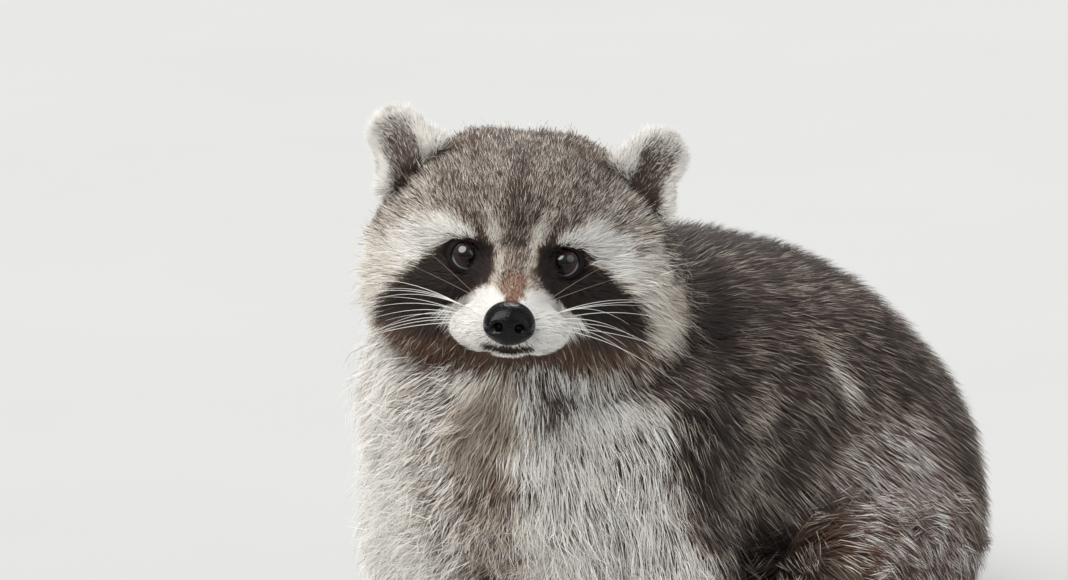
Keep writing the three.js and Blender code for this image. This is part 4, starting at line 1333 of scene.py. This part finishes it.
def grown(name, spec):
    """One piece of the coat as a mesh: each tuft is a tapering blade, rolled a little about its length."""
    nodes, normal, marks, kinds, chart = tufts_on(spec)
    count, steps = nodes.shape[:2]
    along = unit(np.gradient(nodes, axis=1))
    beside = unit(np.cross(along, normal[:, None]))
    roll = rng.uniform(-ROLL, ROLL, (count, 1, 1))
    beside = unit(beside * np.cos(roll) + np.cross(along, beside) * -np.sin(roll))
    shares = np.linspace(0, 1, steps)
    taper = 1 - shares ** WIDTH["late"] * WIDTH["taper"]
    half = spec["wide"] / 2 * rng.uniform(*WIDTH["varies"], (count, 1)) * taper
    edges = [nodes + beside * half[..., None] * side for side in (-1, 1)]
    body = np.stack(edges, 2)[:, :-1].reshape(count, -1, 3)
    points = np.concatenate([body, nodes[:, -1:]], 1)
    size = points.shape[1]
    each = []
    for low in range(0, size - 3, 2):
        each += [(low, low + 1, low + 3), (low, low + 3, low + 2)]
    each.append((size - 3, size - 2, size - 1))
    faces = (np.array(each)[None] + (np.arange(count) * size)[:, None, None]).reshape(-1, 3)
    piece = shape_of(name, points.reshape(-1, 3), faces)
    own = np.cross(beside, along)
    own = np.concatenate([np.repeat(own[:, :-1], 2, axis=1), own[:, -1:]], 1)
    lit = unit(own * FACING + normal[:, None] * (1 - FACING))
    piece.data.normals_split_custom_set_from_vertices(lit.reshape(-1, 3))
    levels = np.append(np.repeat(shares[:-1], 2), 1)
    lefts = np.append(np.tile((-1, 1), steps - 1), 0)
    note(piece, "markings", np.repeat(marks, size, axis=0))
    note(piece, "hair", np.concatenate([np.repeat(kinds, size, axis=0), np.tile(levels, count)[:, None]], 1))
    patch = np.stack([lefts * PATCH / 2, (levels - 0.5) * PATCH], 1)
    uv = (chart[:, None] + patch).reshape(-1, 2)[faces.ravel()]
    piece.data.uv_layers.new(name="OFBake").data.foreach_set("uv", uv.astype("f4").ravel())
    piece.data.materials.append(coat_finish.material)
    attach(piece, "root")


coat_finish = Finish("guard_hair", Roughness=0.62, IOR=1.33, Sheen_Weight=0.06, Sheen_Roughness=0.5)
strand, tone, up_hair = coat_finish.parts(coat_finish.kept("hair", "Vector"))
dark, light, share, pale = coat_colours(coat_finish, strand, tone)
# The band begins about half way up, and lower and right up to the tip where nearly all hairs are pale.
all_pale = coat_finish.eased(pale, 0.36, 0.7)
begins = 0.5 + (tone - 0.5) * 0.3 - all_pale * 0.35
ends = begins + all_pale + 0.3
band = coat_finish.eased(up_hair, begins, begins + 0.12) * (1 - coat_finish.eased(up_hair, ends, ends + 0.1))
coat_finish.feed(Base_Color=coat_finish.mix(share * band, dark, light))

for name, spec in PIECES.items():
    grown(name, USUAL | spec)

# ---- Whiskers ----
# Stiff white hairs in rows on each side of the muzzle, with a few finer ones over the eyes and on the chin.
# Each is a tapering round hair that rises a little from the lip and then droops under its own weight.
WHISKERS = dict(count=12, long=(34, 66), droop=(0.2, 0.42), root=0.18, fine=0.1, tip=0.04, steps=12, around=5)
whisker_rng = np.random.default_rng(5)
whisker_paths, whisker_roots = [], []


def whisker(sign, root, ahead, long, droop, thick):
    """Adds a whisker in the head's frame that sets off ahead and has drooped by so much at its tip."""
    t = np.linspace(0, 1, WHISKERS["steps"])[:, None]
    path = np.array(root) + ahead * long * t + droop * t**2
    whisker_paths.append(from_head(path * (sign, 1, 1)))
    whisker_roots.append(thick)


def astray(ahead, stray):
    """A way near this one."""
    return unit(np.array(ahead) + whisker_rng.normal(0, stray, 3))


for sign in SIDES.values():
    for n in range(WHISKERS["count"]):
        row, step = n % 3, n // 3
        root = (16 + 2.2 * step + 0.6 * row, -34 + 5 * step, -17.5 - 2.8 * row)
        ahead = astray((1, 0.3 + 0.12 * step, 0.34 - 0.17 * row), 0.06)
        long = whisker_rng.uniform(*WHISKERS["long"])
        droop = np.array([0, 0.14, -whisker_rng.uniform(*WHISKERS["droop"])]) * long
        whisker(sign, root, ahead, long, droop, WHISKERS["root"])
    for n in range(2):
        ahead = astray((0.9, 0.25, 0.75 - 0.35 * n), 0.06)
        whisker(sign, (15 + 2 * n, -24 + 2 * n, -13), ahead, 30, np.array([1, 1, -1]), WHISKERS["fine"])
    for n in range(2):
        ahead = astray((0.5 + 0.3 * n, -0.4, -1), 0.1)
        whisker(sign, (4 + 4 * n, -36 + 3 * n, -38), ahead, 24, np.array([0, 4, -2]), WHISKERS["fine"])
whisker_taper = np.linspace(whisker_roots, WHISKERS["tip"], WHISKERS["steps"]).T
whisker_points, whisker_faces, whisker_shares = tubes_along(whisker_paths, whisker_taper, WHISKERS["around"])
whiskers = shape_of("whiskers", whisker_points, whisker_faces)
note(whiskers, "along", whisker_shares)
is_fine = np.repeat(np.array(whisker_roots) < WHISKERS["root"], len(whisker_points) // len(whisker_roots))
note(whiskers, "fine", is_fine)
whisker_finish = Finish("whisker_hair", Roughness=0.35, IOR=1.5)
ageing = whisker_finish.noise(300.0, 2.0)
whisker_colour = whisker_finish.mix(ageing, (0.70, 0.68, 0.64, 1), (0.93, 0.92, 0.89, 1))
whisker_colour = whisker_finish.mix(whisker_finish.kept("fine") * 0.8, whisker_colour, (0.20, 0.12, 0.08, 1))
whisker_root = whisker_finish.eased(whisker_finish.kept("along"), 0.0, 0.1)
whisker_finish.feed(Base_Color=whisker_finish.mix(whisker_root, (0.35, 0.30, 0.26, 1), whisker_colour))
whiskers.data.materials.append(whisker_finish.material)
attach(whiskers, "root")

# ---- Studio ----
# A pale seamless floor, and soft lamps: a wide one high on the animal's right, a weaker one on its left and
# one behind it that lights the rims of the ears and the back.
FLOOR_WIDE = 14
floor_mesh = bpy.data.meshes.new("floor")
floor_mesh.from_pydata(
    [(x * FLOOR_WIDE, y * FLOOR_WIDE, 0) for x, y in ((-1, -1), (1, -1), (1, 1), (-1, 1))], [], [(0, 1, 2, 3)]
)
floor = bpy.data.objects.new("floor", floor_mesh)
bpy.context.scene.collection.objects.link(floor)
paper = Finish("paper", Roughness=0.8)
paper_grain = paper.noise(3.0, 4.0)
paper.feed(Base_Color=paper.mix(paper_grain, (0.52, 0.52, 0.505, 1), (0.56, 0.56, 0.545, 1)))
floor_mesh.materials.append(paper.material)
floor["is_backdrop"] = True

LAMPS = [
    dict(name="key", azimuth=-14, elevation=50, wide=50, strength=2.8, tint=(1, 0.98, 0.95)),
    dict(name="fill", azimuth=88, elevation=28, wide=50, strength=0.5, tint=(0.94, 0.97, 1)),
    dict(name="rim", azimuth=205, elevation=52, wide=30, strength=1.5, tint=(1, 1, 1)),
]
LAMPS_AWAY = 2.4
for lamp in LAMPS:
    light_data = bpy.data.lights.new(lamp["name"], "SUN")
    light_data.angle, light_data.energy = math.radians(lamp["wide"]), lamp["strength"]
    light_data.color = lamp["tint"]
    lamp_way = way_to(math.radians(lamp["azimuth"]), math.radians(lamp["elevation"]))
    lamp_object = bpy.data.objects.new(lamp["name"], light_data)
    lamp_object.location = between_eyes + lamp_way * LAMPS_AWAY
    lamp_object.rotation_euler = lamp_way.to_track_quat("Z", "Y").to_euler()
    bpy.context.scene.collection.objects.link(lamp_object)
world = bpy.data.worlds.new("studio")
world.use_nodes = True
world.node_tree.nodes["Background"].inputs["Color"].default_value = (0.86, 0.90, 0.95, 1)
world.node_tree.nodes["Background"].inputs["Strength"].default_value = 0.38
bpy.context.scene.world = world
bpy.context.scene.view_settings.view_transform = "Standard"

made_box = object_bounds()
{name: [list(corner) for corner in box] for name, box in (("cad", cad_box), ("made", made_box))}
